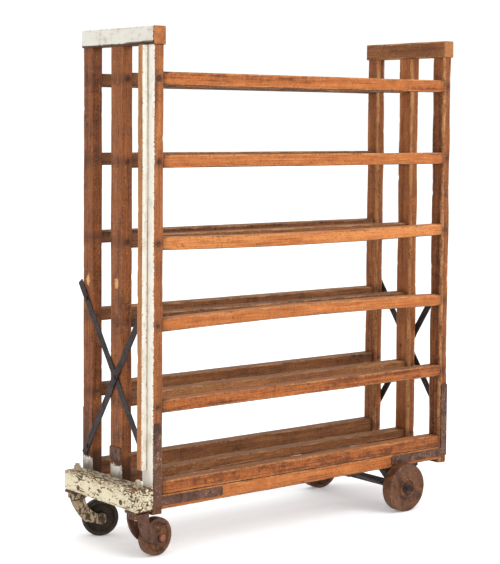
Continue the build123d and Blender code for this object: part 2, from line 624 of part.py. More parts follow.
def make_axle_wheels():
    """Plain iron wheels outside the frame, each held by a collar, a washer and a nut."""
    retainers = []
    rim_half = (WHEEL_OUTER_Y - WHEEL_INNER_Y) / 2
    hub_half = (HUB_OUTER_Y - HUB_INNER_Y) / 2
    washer_radius, washer_high = AXLE_WASHER
    for row in ("front", "rear"):
        side = ROWS[row]
        middle = side * (WHEEL_OUTER_Y + WHEEL_INNER_Y) / 2
        hub_shift = side * (HUB_OUTER_Y + HUB_INNER_Y) / 2 - middle
        wheel = turned_wheel(WHEEL_RADIUS, rim_half, AXLE_RIM_INNER, AXLE_WEB_HALF, HUB_RADIUS,
                             hub_half, JOURNAL_RADIUS + RUNNING_CLEARANCE, hub_shift)
        wheel = Pos(AXLE_X + SHIFT_X, middle, WHEEL_RADIUS) * wheel
        recess_y = side * (HUB_OUTER_Y - HUB_RECESS_DEEP / 2)
        recess = rod(AXLE_X, recess_y, WHEEL_RADIUS, HUB_RECESS_RADIUS, HUB_RECESS_DEEP, "Y")
        nodes[f"{row}_axle_wheel"] = wheel - recess
        washer_y = side * (HUB_OUTER_Y - 2 * washer_high)
        nut_y = side * (HUB_OUTER_Y + 0.5)
        washer = rod(AXLE_X, washer_y, WHEEL_RADIUS, washer_radius, washer_high, "Y")
        nut = hexagon(AXLE_X, nut_y, WHEEL_RADIUS, AXLE_NUT_ACROSS, AXLE_NUT_HIGH, "Y")
        retainers.append(washer + nut - nodes["fixed_axle"])
    nodes["axle_nuts"] = Compound(retainers)


def main():
    """Makes every node and writes each as a STEP file."""
    make_posts()
    make_top_rails()
    make_shelves()
    make_base()
    make_pegs()
    make_bolster()
    make_bolster_bolts()
    make_braces()
    make_rub_batten()
    nodes["iron_screws"] = Compound(make_corner_irons() + [make_post_plate()])
    make_casters()
    make_axle()
    make_axle_wheels()
    os.makedirs("parts", exist_ok=True)
    for name, solid in nodes.items():
        export_step(solid, f"parts/{name}.step")
    print(len(nodes), "nodes, frame shifted by", round(SHIFT_X, 3), "mm")


main()
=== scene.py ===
"""A worn wooden rack trolley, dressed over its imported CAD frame.

Timbers, straps, irons and wheels are surfaces worked out on grids; small turned and
forged parts keep their CAD shape and get a finish.  Metres, +Z up, floor at Z = 0.
"""

import logging
import math
from dataclasses import dataclass
from enum import Enum, IntEnum
from typing import ClassVar, NamedTuple

import bpy
import numpy as np
from mathutils import Matrix, Vector


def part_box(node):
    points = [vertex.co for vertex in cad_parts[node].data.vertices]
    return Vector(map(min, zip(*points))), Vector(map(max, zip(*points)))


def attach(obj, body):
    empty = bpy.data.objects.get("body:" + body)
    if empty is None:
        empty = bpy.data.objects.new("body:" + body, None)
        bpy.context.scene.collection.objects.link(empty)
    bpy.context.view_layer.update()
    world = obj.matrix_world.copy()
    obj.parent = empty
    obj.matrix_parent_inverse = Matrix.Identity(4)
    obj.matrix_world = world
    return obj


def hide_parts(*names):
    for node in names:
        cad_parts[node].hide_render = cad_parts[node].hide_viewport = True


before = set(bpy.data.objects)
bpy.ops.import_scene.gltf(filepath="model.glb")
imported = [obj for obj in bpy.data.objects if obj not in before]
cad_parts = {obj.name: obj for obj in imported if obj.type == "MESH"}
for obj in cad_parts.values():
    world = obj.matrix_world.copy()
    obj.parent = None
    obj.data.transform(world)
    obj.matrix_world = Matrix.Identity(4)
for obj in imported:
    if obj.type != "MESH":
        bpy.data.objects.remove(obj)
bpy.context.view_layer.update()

log = logging.getLogger("rack_trolley")
MM = 0.001
SHELF_COUNT = 6
BOWS = {3: 9.0 * MM, 4: -8.0 * MM}      # rise or sag of two of the front rails

ARC_POINTS = 5               # points on each rounded edge of a section
END_POINTS = 5               # rings on each rounded end of a bar
WEAR_REACH = 4.5 * MM        # how fast edge wear fades onto the faces
ROUND_SHARE = 0.48           # largest corner radius, as a share of the thinner side
CAP_SCALES = (0.25, 0.65, 0.95)
FLAT_STOPS = np.array([0.03, 0.1, 0.2, 0.35, 0.5, 0.65, 0.8, 0.9, 0.97])
CORNER_CUT = 0.25            # share of a side that softening cuts off at each end
TURNED_SEGMENTS = 112
PIT_LENGTH = 14.0 * MM       # spacing and unevenness of the pits in turned iron
PIT_SPREAD = 0.7
WORN_BEVEL = 1.1 * MM
BEVEL_SEGMENTS = 3

Colour = tuple[float, float, float, float]
Line = tuple[tuple[float, float], tuple[float, float]]
Rings = tuple[np.ndarray, np.ndarray, np.ndarray]
Socket = bpy.types.NodeSocket
Terms = tuple[tuple[str, float], ...]


class Axis(Enum):
    """The direction that a timber's grain runs in."""

    X = 0
    Y = 1
    Z = 2


class End(Enum):
    """One end of the trolley; the value is the sign of X that faces outwards there."""

    LEFT = -1
    RIGHT = 1


class Row(Enum):
    """One of the three rows of posts and rails; the value is the sign of Y."""

    FRONT = -1
    MIDDLE = 0
    REAR = 1


class Seed(IntEnum):
    """Starts of the random numbers, one for each kind of piece."""

    POST = 100
    TOP_RAIL = 150
    BOTTOM_RAIL = 160
    STRAP = 170
    SHELF_RAIL = 200
    SILL = 300
    BOLSTER = 320
    BATTEN = 340
    CASTER_WHEEL = 400
    AXLE_WHEEL = 410


def swatch(red: int, green: int, blue: int) -> Colour:
    """Turns a display colour into the linear colour that shaders use.

    Args:
        red: 0 to 255.
        green: 0 to 255.
        blue: 0 to 255.

    Returns:
        Linear red, green, blue and an alpha of 1.
    """
    part = np.array([red, green, blue]) / 255.0
    linear = np.where(part <= 0.04045, part / 12.92, ((part + 0.055) / 1.055) ** 2.4)
    return (*linear.tolist(), 1.0)


# ---- shapes ---------------------------------------------------------------------


def ripple(
    points: np.ndarray, seed: int, length: float | np.ndarray, count: int = 12
) -> np.ndarray:
    """Smooth random field: a sum of cosine waves with seeded directions and phases.

    Args:
        points: places, shape (..., 3).
        seed: picks the waves.
        length: wavelength in metres, one number or one per axis.
        count: number of waves.

    Returns:
        The field at each place, with a spread of about 1 each way.
    """
    dice = np.random.default_rng(seed)
    turns = dice.normal(size=(count, 3))
    turns /= np.linalg.norm(turns, axis=1, keepdims=True)
    turns *= dice.uniform(0.6, 1.6, (count, 1)) / np.asarray(length, float)
    phase = dice.uniform(0.0, 2.0 * math.pi, count)
    return np.cos(2.0 * math.pi * points @ turns.T + phase).sum(-1) / math.sqrt(count / 2)


def ease(value: np.ndarray, start: float, end: float) -> np.ndarray:
    """Smooth step: 0 before start, 1 after end, a cubic between them."""
    part = np.clip((value - start) / (end - start), 0.0, 1.0)
    return part * part * (3.0 - 2.0 * part)


def bell(value: np.ndarray, middle: float, width: float) -> np.ndarray:
    """Bell curve with its height of 1 at the middle."""
    return np.exp(-(((value - middle) / width) ** 2))


@dataclass
class Skin:
    """A closed surface on a grid, with named values at its points.

    Attributes:
        points: shape (rings, around, 3); each ring is closed.
        outward: outward direction at each point, same shape.
        marks: named values, each of shape (rings, around).
        capped: whether a pole closes each end; otherwise the last ring joins the first.
    """

    points: np.ndarray
    outward: np.ndarray
    marks: dict[str, np.ndarray]
    capped: bool = True

    def press(self, depth: np.ndarray) -> None:
        """Moves every point inwards by its depth in metres."""
        self.points = self.points - self.outward * depth[..., None]

    def to_object(self, name: str) -> bpy.types.Object:
        """Joins neighbouring grid points into quads, with a fan of triangles at each pole.

        Args:
            name: the new object's name.

        Returns:
            The object, at the origin, with the marks as point attributes.
        """
        rings, around = self.points.shape[:2]
        index = np.arange(rings * around).reshape(rings, around)
        following = np.roll(index, -1, axis=1)
        if self.capped:
            lower, upper = slice(None, -1), slice(1, None)
            quads = np.stack(
                [index[lower], following[lower], following[upper], index[upper]], -1
            )
            poles = self.points[[0, -1]].mean(axis=1)
            first, last = rings * around, rings * around + 1
            start = np.stack([np.full(around, first), following[0], index[0]], -1)
            finish = np.stack([np.full(around, last), index[-1], following[-1]], -1)
            fans = np.concatenate([start, finish])
            points = np.concatenate([self.points.reshape(-1, 3), poles])
        else:
            above, above_next = np.roll(index, -1, 0), np.roll(following, -1, 0)
            quads = np.stack([index, following, above_next, above], -1)
            fans = np.zeros((0, 3), int)
            points = self.points.reshape(-1, 3)
        quads = quads.reshape(-1, 4)
        corners = np.concatenate([quads.ravel(), fans.ravel()]).astype(np.int32)
        starts = np.concatenate(
            [np.arange(len(quads)) * 4, len(quads) * 4 + np.arange(len(fans)) * 3]
        ).astype(np.int32)
        mesh = bpy.data.meshes.new(name)
        mesh.vertices.add(len(points))
        mesh.vertices.foreach_set("co", points.astype(np.float32).ravel())
        mesh.loops.add(len(corners))
        mesh.loops.foreach_set("vertex_index", corners)
        mesh.polygons.add(len(starts))
        mesh.polygons.foreach_set("loop_start", starts)
        mesh.update(calc_edges=True)
        mesh.polygons.foreach_set("use_smooth", np.ones(len(starts), bool))
        for mark, values in self.marks.items():
            flat = np.broadcast_to(values, (rings, around)).ravel().astype(np.float32)
            if self.capped:
                flat = np.concatenate([flat, flat[[0, -1]]])
            mesh.attributes.new(mark, "FLOAT", "POINT").data.foreach_set("value", flat)
        made = bpy.data.objects.new(name, mesh)
        bpy.context.scene.collection.objects.link(made)
        return made


def carry_section(
    spine: np.ndarray,
    across: np.ndarray,
    up: np.ndarray,
    low: np.ndarray,
    high: np.ndarray,
    radius: np.ndarray,
    shrink: np.ndarray,
) -> Skin:
    """Carries a rectangle with rounded corners along a path.

    Each ring is four quarter circles joined by straight runs.  Its half sizes and its
    corner radii may differ from ring to ring, and shrink pulls a ring to its middle.

    Args:
        spine: ring places, shape (rings, 3).
        across: first direction of the section, shape (rings, 3).
        up: second direction; across x up points along the path.
        low: lower limits along across and up, shape (rings, 2).
        high: upper limits, shape (rings, 2).
        radius: corner radii, shape (rings, 4).
        shrink: scale of each ring about its middle, shape (rings,).

    Returns:
        The skin, with the mark "arris" near 1 on the rounded edges.  Rings pulled in
        by shrink count as end caps: they face along the path.
    """
    rings = len(spine)
    sign = np.array([[1, 1], [-1, 1], [-1, -1], [1, -1]], float)
    limit = np.where(sign[None] > 0, high[:, None], low[:, None])
    least = (high - low).min(axis=1)[:, None] * ROUND_SHARE
    radius = np.minimum(radius, least)
    centre = limit - sign[None] * radius[..., None]
    angle = (np.arange(4)[:, None] + np.linspace(0, 1, ARC_POINTS)[None]) * math.pi / 2
    turn = np.stack([np.cos(angle), np.sin(angle)], -1)
    arc = centre[:, :, None] + radius[:, :, None, None] * turn[None]
    begin, stop = arc[:, :, -1:], np.roll(arc, -1, axis=1)[:, :, :1]
    part = FLAT_STOPS[None, None, :, None]
    flat = begin * (1 - part) + stop * part
    side = np.broadcast_to(turn[None, :, -1:], flat.shape)
    shape = np.concatenate([arc, flat], axis=2).reshape(rings, -1, 2)
    facing = np.concatenate([np.broadcast_to(turn[None], arc.shape), side], axis=2)
    facing = facing.reshape(rings, -1, 2)
    gap = np.linalg.norm(stop - begin, axis=-1)
    reach = np.minimum(FLAT_STOPS, 1 - FLAT_STOPS)[None, None] * gap
    near = np.concatenate([np.ones(arc.shape[:3]), np.exp(-reach / WEAR_REACH)], axis=2)
    middle = (low + high)[:, None] / 2
    shape = middle + (shape - middle) * shrink[:, None, None]
    points = spine[:, None] + shape[..., :1] * across[:, None] + shape[..., 1:] * up[:, None]
    outward = facing[..., :1] * across[:, None] + facing[..., 1:] * up[:, None]
    along = np.cross(across, up) * np.where(np.arange(rings) < rings / 2, -1.0, 1.0)[:, None]
    on_cap = (shrink < 1.0)[:, None]
    outward = np.where(on_cap[..., None], along[:, None], outward)
    return Skin(points, outward, {"arris": np.where(on_cap, 0.0, near.reshape(rings, -1))})


def end_rings(start: float, stop: float, step: float, soft: float) -> Rings:
    """Ring places along a bar whose ends are rounded over.

    Near each end the rings follow a quarter circle; three more close the end face.

    Args:
        start: lower end.
        stop: upper end.
        step: spacing of the rings between.
        soft: radius of the rounding.

    Returns:
        Places along the bar, inset of the section there, and scale of the section.
    """
    angle = np.linspace(0, math.pi / 2, END_POINTS)
    rise = soft * (1 - np.cos(angle))
    inset = soft * (1 - np.sin(angle))
    count = max(int((stop - start - 2 * soft) / step), 2)
    body = np.linspace(start + soft, stop - soft, count + 1)[1:-1]
    cap = np.zeros(len(CAP_SCALES))
    place = np.concatenate([start + cap, start + rise, body, (stop - rise)[::-1], stop + cap])
    narrow = np.concatenate([cap + soft, inset, np.zeros(len(body)), inset[::-1], cap + soft])
    scale = np.ones(len(place))
    scale[:len(cap)] = CAP_SCALES
    scale[-len(cap):] = CAP_SCALES[::-1]
    return place, narrow, scale


class Tenons(NamedTuple):
    """Through tenons at both ends of a rail that runs along X.

    Attributes:
        low: lowest Y and Z of the tenons.
        high: highest Y and Z.
        start: X where the rail's body begins.
        stop: X where it ends.
    """

    low: tuple[float, float]
    high: tuple[float, float]
    start: float
    stop: float


@dataclass
class Timber:
    """One worn length of timber between two corners of a box.

    Attributes:
        low: lowest corner.
        high: highest corner.
        grain: direction of its length.
        seed: picks its wear.
        edge: mean radius of its worn long edges.
        sway: how far its faces wander inwards.
        dents: how deep the surface relief goes.
        tenons: the tenons at its ends; None for square ends.
    """

    RING_STEP: ClassVar[float] = 8.0 * MM
    END_SOFT: ClassVar[float] = 1.2 * MM
    WANDER_LENGTH: ClassVar[float] = 0.55
    RELIEF_LENGTH: ClassVar[float] = 0.16       # of the surface relief, along the grain
    RELIEF_ACROSS: ClassVar[float] = 0.028
    TENON_SOFT: ClassVar[float] = 0.5 * MM      # rounding of a tenon's end and edges
    TENON_EDGE: ClassVar[float] = 0.7 * MM
    TENON_SWAY: ClassVar[float] = 0.1           # share of the sway that a tenon keeps
    EDGE_SPREAD: ClassVar[float] = 0.35
    EDGE_LENGTH: ClassVar[float] = 0.3
    NICK_LENGTH: ClassVar[float] = 0.045
    NICK_START: ClassVar[float] = 1.1
    NICK_MOST: ClassVar[float] = 1.6
    NICK_DEPTH: ClassVar[float] = 2.6 * MM
    MARKS: ClassVar[tuple[str, ...]] = ("grime_and_shade", "stain", "scar", "dust_wear_and_sheen", "coat", "flake")

    low: np.ndarray
    high: np.ndarray
    grain: Axis
    seed: int
    edge: float = 3.4 * MM
    sway: float = 0.9 * MM
    dents: float = 0.22 * MM
    tenons: Tenons | None = None

    def skin(self) -> Skin:
        """Rounded rectangle along the grain, its limits and corner radii wandering.

        Every face moves in by a slow random wave, every long edge has its own wandering
        radius with short nicks, and a fine relief is pressed into the whole surface.

        Returns:
            The skin, with the marks "arris" and "tone", and the other marks at 0.
        """
        main = self.grain.value
        first, second = (main + 1) % 3, (main + 2) % 3
        if self.tenons is None:
            place, narrow, scale = end_rings(
                self.low[main], self.high[main], self.RING_STEP, self.END_SOFT
            )
            low = np.tile(self.low[[first, second]], (len(place), 1))
            high = np.tile(self.high[[first, second]], (len(place), 1))
            wide = np.ones(len(place), bool)
        else:
            place, narrow, scale, low, high, wide = self._with_tenons()
        spine = np.zeros((len(place), 3))
        spine[:, main] = place
        drift = np.stack(
            [self._wander(place, 10 + side) for side in range(4)], -1
        )
        held = np.where(wide, 1.0, self.TENON_SWAY)[:, None]
        low = low + (drift[:, :2] * held) * self.sway + narrow[:, None]
        high = high - (drift[:, 2:] * held) * self.sway - narrow[:, None]
        radius = np.stack([self._edge_radius(place, side) for side in range(4)], -1)
        radius = np.where(wide[:, None], radius, self.TENON_EDGE)
        across, up = np.zeros((len(place), 3)), np.zeros((len(place), 3))
        across[:, first] = 1.0
        up[:, second] = 1.0
        skin = carry_section(spine, across, up, low, high, radius, scale)
        length = np.full(3, self.RELIEF_ACROSS)
        length[main] = self.RELIEF_LENGTH
        relief = ripple(skin.points, self.seed + 40, length)
        skin.press(self.dents * (1.0 + 0.5 * np.tanh(relief)) * wide[:, None])
        tone = np.random.default_rng(self.seed).uniform(-1.0, 1.0)
        skin.marks["tone"] = np.full(skin.points.shape[:2], tone)
        skin.marks.update({name: np.zeros(skin.points.shape[:2]) for name in self.MARKS})
        return skin

    def _wander(self, place: np.ndarray, offset: int) -> np.ndarray:
        """Slow random wave along the bar, from 0 to 1."""
        line = np.stack([place, np.zeros_like(place), np.zeros_like(place)], -1)
        return 0.5 + 0.5 * np.tanh(ripple(line, self.seed + offset, self.WANDER_LENGTH))

    def _edge_radius(self, place: np.ndarray, side: int) -> np.ndarray:
        """Radius of one long edge: a slow wave plus short, sharp nicks.

        Args:
            place: places along the bar.
            side: which of the four edges.

        Returns:
            The radius at each place.
        """
        line = np.stack([place, np.zeros_like(place), np.zeros_like(place)], -1)
        slow = np.tanh(ripple(line, self.seed + 20 + side, self.EDGE_LENGTH))
        quick = ripple(line, self.seed + 30 + side, self.NICK_LENGTH)
        nicks = np.clip(quick - self.NICK_START, 0.0, self.NICK_MOST)
        return self.edge * (1.0 + self.EDGE_SPREAD * slow) + nicks * self.NICK_DEPTH

    def _with_tenons(self) -> tuple[np.ndarray, ...]:
        """Ring places and limits for a body with a through tenon at each end.

        The limits jump at each shoulder between the body's and the tenon's.

        Returns:
            Places, insets, scales, low limits, high limits and a mask of body rings.
        """
        main = self.grain.value
        pick = [(main + 1) % 3, (main + 2) % 3]
        tenon_low, tenon_high, body_start, body_stop = self.tenons
        soft = self.TENON_SOFT
        count = int((body_stop - body_start) / self.RING_STEP)
        body = np.linspace(body_start, body_stop, count)
        cap = np.zeros(len(CAP_SCALES) + 1)
        run = np.concatenate([cap, [soft, soft * 4]])
        head = np.concatenate([self.low[main] + run, [body_start]])
        tail = np.concatenate([[body_stop], (self.high[main] - run)[::-1]])
        place = np.concatenate([head, body, tail])
        wide = np.zeros(len(place), bool)
        wide[len(head):-len(tail)] = True
        narrow = np.zeros(len(place))
        narrow[:len(cap)] = soft
        narrow[-len(cap):] = soft
        scale = np.ones(len(place))
        scale[:len(CAP_SCALES)] = CAP_SCALES
        scale[-len(CAP_SCALES):] = CAP_SCALES[::-1]
        low = np.where(wide[:, None], self.low[pick], np.asarray(tenon_low))
        high = np.where(wide[:, None], self.high[pick], np.asarray(tenon_high))
        return place, narrow, scale, low, high, wide


def soften(profile: np.ndarray, rounds: int) -> np.ndarray:
    """Rounds a closed outline by cutting a quarter off both ends of every side.

    Args:
        profile: the outline's corners, one a row.
        rounds: how often to cut.

    Returns:
        The rounder outline, with twice the corners for every round.
    """
    near, far = 1.0 - CORNER_CUT, CORNER_CUT
    for _ in range(rounds):
        following = np.roll(profile, -1, axis=0)
        cut = [profile * near + following * far, profile * far + following * near]
        profile = np.stack(cut, 1).reshape(-1, profile.shape[1])
    return profile


def turn_profile(
    profile: np.ndarray, centre: np.ndarray, axle: np.ndarray, seed: int, pitting: float
) -> Skin:
    """Turns a closed outline about an axle into a ring-shaped solid.

    A point at angle t stands at the centre, plus its place along the axle, plus its
    radius times the direction at angle t.  A seeded field presses pits into it.

    Args:
        profile: (along the axle, radius) outline, anticlockwise, in metres.
        centre: the middle of the axle.
        axle: unit direction.
        seed: picks the pitting.
        pitting: its depth in metres.

    Returns:
        The skin, open in neither direction.
    """
    angle = np.linspace(0, 2 * math.pi, TURNED_SEGMENTS, endpoint=False)
    upright = np.array([0.0, 0.0, 1.0])
    level = np.cross(upright, axle)
    ray = np.cos(angle)[:, None] * level + np.sin(angle)[:, None] * upright
    edge = np.roll(profile, -1, axis=0) - np.roll(profile, 1, axis=0)
    normal = np.stack([edge[:, 1], -edge[:, 0]], -1)
    normal /= np.linalg.norm(normal, axis=1, keepdims=True) + 1e-12
    along, radius = profile[None, :, :1], profile[None, :, 1:]
    points = centre + along * axle + radius * ray[:, None]
    outward = normal[None, :, :1] * axle + normal[None, :, 1:] * ray[:, None]
    shape = points.shape[:2]
    skin = Skin(points, outward, {"arris": np.zeros(shape)}, capped=False)
    skin.press(pitting * (1.0 + PIT_SPREAD * np.tanh(ripple(points, seed, PIT_LENGTH))))
    skin.marks["tone"] = np.broadcast_to(profile[None, :, 1] / profile[:, 1].max(), shape)
    return skin


def flat_plate(
    name: str, outline: np.ndarray, front: float, back: float
) -> bpy.types.Object:
    """Gives an outline in the XZ plane a thickness along Y, then bevels its edges.

    Args:
        name: the new object's name.
        outline: (X, Z) corners, anticlockwise when seen from -Y.
        front: lower Y.
        back: upper Y.

    Returns:
        The object, at the origin.
    """
    count = len(outline)
    near = np.stack([outline[:, 0], np.full(count, front), outline[:, 1]], -1)
    far = np.stack([outline[:, 0], np.full(count, back), outline[:, 1]], -1)
    index = np.arange(count)
    following = np.roll(index, -1)
    sides = np.stack([following, index, index + count, following + count], -1)
    faces = [index.tolist(), (index[::-1] + count).tolist(), *sides.tolist()]
    mesh = bpy.data.meshes.new(name)
    mesh.from_pydata(np.concatenate([near, far]).tolist(), [], faces)
    mesh.update()
    made = bpy.data.objects.new(name, mesh)
    bpy.context.scene.collection.objects.link(made)
    bevel = made.modifiers.new("worn_edges", "BEVEL")
    bevel.width = WORN_BEVEL
    bevel.segments = BEVEL_SEGMENTS
    bevel.limit_method = "ANGLE"
    return made


# ---- finishes -------------------------------------------------------------------


@dataclass(frozen=True)
class Pattern:
    """A noise field over a surface.

    Attributes:
        along: cells a metre along the grain.
        across: cells a metre across it.
        detail: number of finer fields added to it.
        bend: how far it is warped.
    """

    along: float
    across: float
    detail: float = 4.0
    bend: float = 0.0

    def scale(self, grain: Axis) -> tuple[float, ...]:
        """Cells a metre along X, Y and Z."""
        return tuple(self.along if axis is grain else self.across for axis in Axis)


@dataclass(frozen=True)
class Layer:
    """A tint that shows where a weighted sum of fields passes a soft step.

    Attributes:
        name: the layer's own name, under which its reach is kept.
        tint: which colour of the finish it lays on.
        terms: (field name, weight) pairs.
        start: the sum at which it begins to show; may be the larger one.
        end: the sum at which it shows in full.
        strength: how strongly it covers what lies under it.
    """

    name: str
    tint: str
    terms: Terms
    start: float
    end: float
    strength: float = 1.0


class Surface(NamedTuple):
    """What a finish feeds the shader: colour, roughness and height for the bump."""

    colour: Socket
    rough: Socket | float
    height: Socket


class NodeSheet:
    """A material's node tree, with short calls for the nodes that the finishes use."""

    MIX_BASE: ClassVar[int] = 6             # colour inputs and output of a mix node
    MIX_OVER: ClassVar[int] = 7
    MIX_RESULT: ClassVar[int] = 2
    BUMP_STRENGTH: ClassVar[float] = 0.8

    def __init__(self, name: str) -> None:
        """Starts a material with one principled shader.

        Args:
            name: the material's name.
        """
        self.material = bpy.data.materials.new(name)
        self.material.use_nodes = True
        self.tree = self.material.node_tree
        self.tree.nodes.clear()
        output = self.tree.nodes.new("ShaderNodeOutputMaterial")
        self.shader = self.tree.nodes.new("ShaderNodeBsdfPrincipled")
        self.tree.links.new(self.shader.outputs[0], output.inputs["Surface"])

    def put(
        self, node: bpy.types.Node, socket: str | int, value: Socket | float | Colour
    ) -> None:
        """Links a socket's source to an input, or sets the input to a constant.

        Args:
            node: the node to feed.
            socket: the input's name or number.
            value: another node's output, or a constant.
        """
        if isinstance(value, bpy.types.NodeSocket):
            self.tree.links.new(value, node.inputs[socket])
        else:
            node.inputs[socket].default_value = value

    def place(self, scale: tuple[float, ...]) -> Socket:
        """Object coordinates, stretched by a scale.

        Args:
            scale: cells a metre along X, Y and Z.

        Returns:
            The stretched coordinates.
        """
        where = self.tree.nodes.new("ShaderNodeTexCoord")
        mapping = self.tree.nodes.new("ShaderNodeMapping")
        self.put(mapping, "Vector", where.outputs["Object"])
        mapping.inputs["Scale"].default_value = scale
        return mapping.outputs["Vector"]

    def noise(self, pattern: Pattern, grain: Axis = Axis.X) -> Socket:
        """Noise with its own number of cells a metre along and across the grain.

        Args:
            pattern: its cells, detail and warp.
            grain: the direction that counts as along.

        Returns:
            The noise, with a mean of about a half.
        """
        node = self.tree.nodes.new("ShaderNodeTexNoise")
        self.put(node, "Vector", self.place(pattern.scale(grain)))
        self.put(node, "Scale", 1.0)
        self.put(node, "Detail", pattern.detail)
        self.put(node, "Distortion", pattern.bend)
        return node.outputs["Fac"]

    def cells(self, pattern: Pattern, grain: Axis) -> Socket:
        """Distance to the nearest border between random cells.

        Args:
            pattern: its cells.
            grain: the direction that counts as along.

        Returns:
            The distance, 0 on a border.
        """
        node = self.tree.nodes.new("ShaderNodeTexVoronoi")
        node.feature = "DISTANCE_TO_EDGE"
        self.put(node, "Vector", self.place(pattern.scale(grain)))
        self.put(node, "Scale", 1.0)
        return node.outputs["Distance"]

    def mark(self, name: str) -> Socket:
        """A named value from the mesh's points.

        Args:
            name: the point attribute.

        Returns:
            The value; 0 on a mesh without it.
        """
        node = self.tree.nodes.new("ShaderNodeAttribute")
        node.attribute_name = name
        return node.outputs["Fac"]

    def _math(self, operation: str, *values: Socket | float) -> Socket:
        """Adds a math node and feeds its inputs in order.

        Args:
            operation: Blender's name for it.
            values: one for each input.

        Returns:
            The result.
        """
        node = self.tree.nodes.new("ShaderNodeMath")
        node.operation = operation
        for number, value in enumerate(values):
            self.put(node, number, value)
        return node.outputs[0]

    def sum(self, *terms: tuple[Socket | float, float]) -> Socket:
        """Adds up weighted values.

        Args:
            terms: (value, weight) pairs.

        Returns:
            The sum.
        """
        total: Socket | float = 0.0
        for value, weight in terms:
            total = self._math("MULTIPLY_ADD", value, weight, total)
        return total

    def blend(self, fields: dict[str, Socket], terms: Terms, base: float = 0.0) -> Socket:
        """Adds up weighted fields by name.

        Args:
            fields: the fields made so far.
            terms: (field name, weight) pairs.
            base: a constant on top.

        Returns:
            The sum.
        """
        pairs = [(fields[name], weight) for name, weight in terms]
        if base:
            pairs.append((base, 1.0))
        return self.sum(*pairs)

    def times(self, first: Socket | float, second: Socket | float) -> Socket:
        """Multiplies two values."""
        return self._math("MULTIPLY", first, second)

    def step(self, value: Socket | float, start: float, end: float) -> Socket:
        """Smooth step from 0 at start to 1 at end; start may be the larger.

        Args:
            value: what is stepped.
            start: where the step is 0.
            end: where it is 1.

        Returns:
            The step, 0 to 1.
        """
        node = self.tree.nodes.new("ShaderNodeMapRange")
        node.interpolation_type = "SMOOTHSTEP"
        low, high = min(start, end), max(start, end)
        self.put(node, "Value", value)
        self.put(node, "From Min", low)
        self.put(node, "From Max", high)
        self.put(node, "To Min", 0.0 if start < end else 1.0)
        self.put(node, "To Max", 1.0 if start < end else 0.0)
        return node.outputs["Result"]

    def mix(self, part: Socket, base: Socket | Colour, over: Socket | Colour) -> Socket:
        """Mixes two colours.

        Args:
            part: how much of the upper colour shows, 0 to 1.
            base: the lower colour.
            over: the upper colour.

        Returns:
            The mixture.
        """
        node = self.tree.nodes.new("ShaderNodeMix")
        node.data_type = "RGBA"
        self.put(node, 0, part)
        self.put(node, self.MIX_BASE, base)
        self.put(node, self.MIX_OVER, over)
        return node.outputs[self.MIX_RESULT]

    def reach(self, layer: Layer, fields: dict[str, Socket]) -> Socket:
        """Where a layer shows; kept among the fields under the layer's name.

        Args:
            layer: the layer.
            fields: the fields made so far.

        Returns:
            Its reach, 0 to 1.
        """
        part = self.step(self.blend(fields, layer.terms), layer.start, layer.end)
        fields[layer.name] = part
        return part

    def lay(
        self, layer: Layer, fields: dict[str, Socket], colour: Socket | Colour, tint: Colour
    ) -> Socket:
        """Lays a layer over a colour.

        Args:
            layer: the layer.
            fields: the fields made so far.
            colour: what lies under it.
            tint: the layer's own colour.

        Returns:
            The colour with the layer on.
        """
        part = self.reach(layer, fields)
        return self.mix(self.times(part, layer.strength), colour, tint)

    def finish(self, surface: Surface, depth: float) -> bpy.types.Material:
        """Connects colour, roughness and bump to the shader.

        Args:
            surface: what the finish works out.
            depth: bump distance in metres.

        Returns:
            The material.
        """
        bump = self.tree.nodes.new("ShaderNodeBump")
        self.put(bump, "Height", surface.height)
        self.put(bump, "Distance", depth)
        self.put(bump, "Strength", self.BUMP_STRENGTH)
        self.put(self.shader, "Base Color", surface.colour)
        self.put(self.shader, "Roughness", surface.rough)
        self.put(self.shader, "Normal", bump.outputs["Normal"])
        return self.material


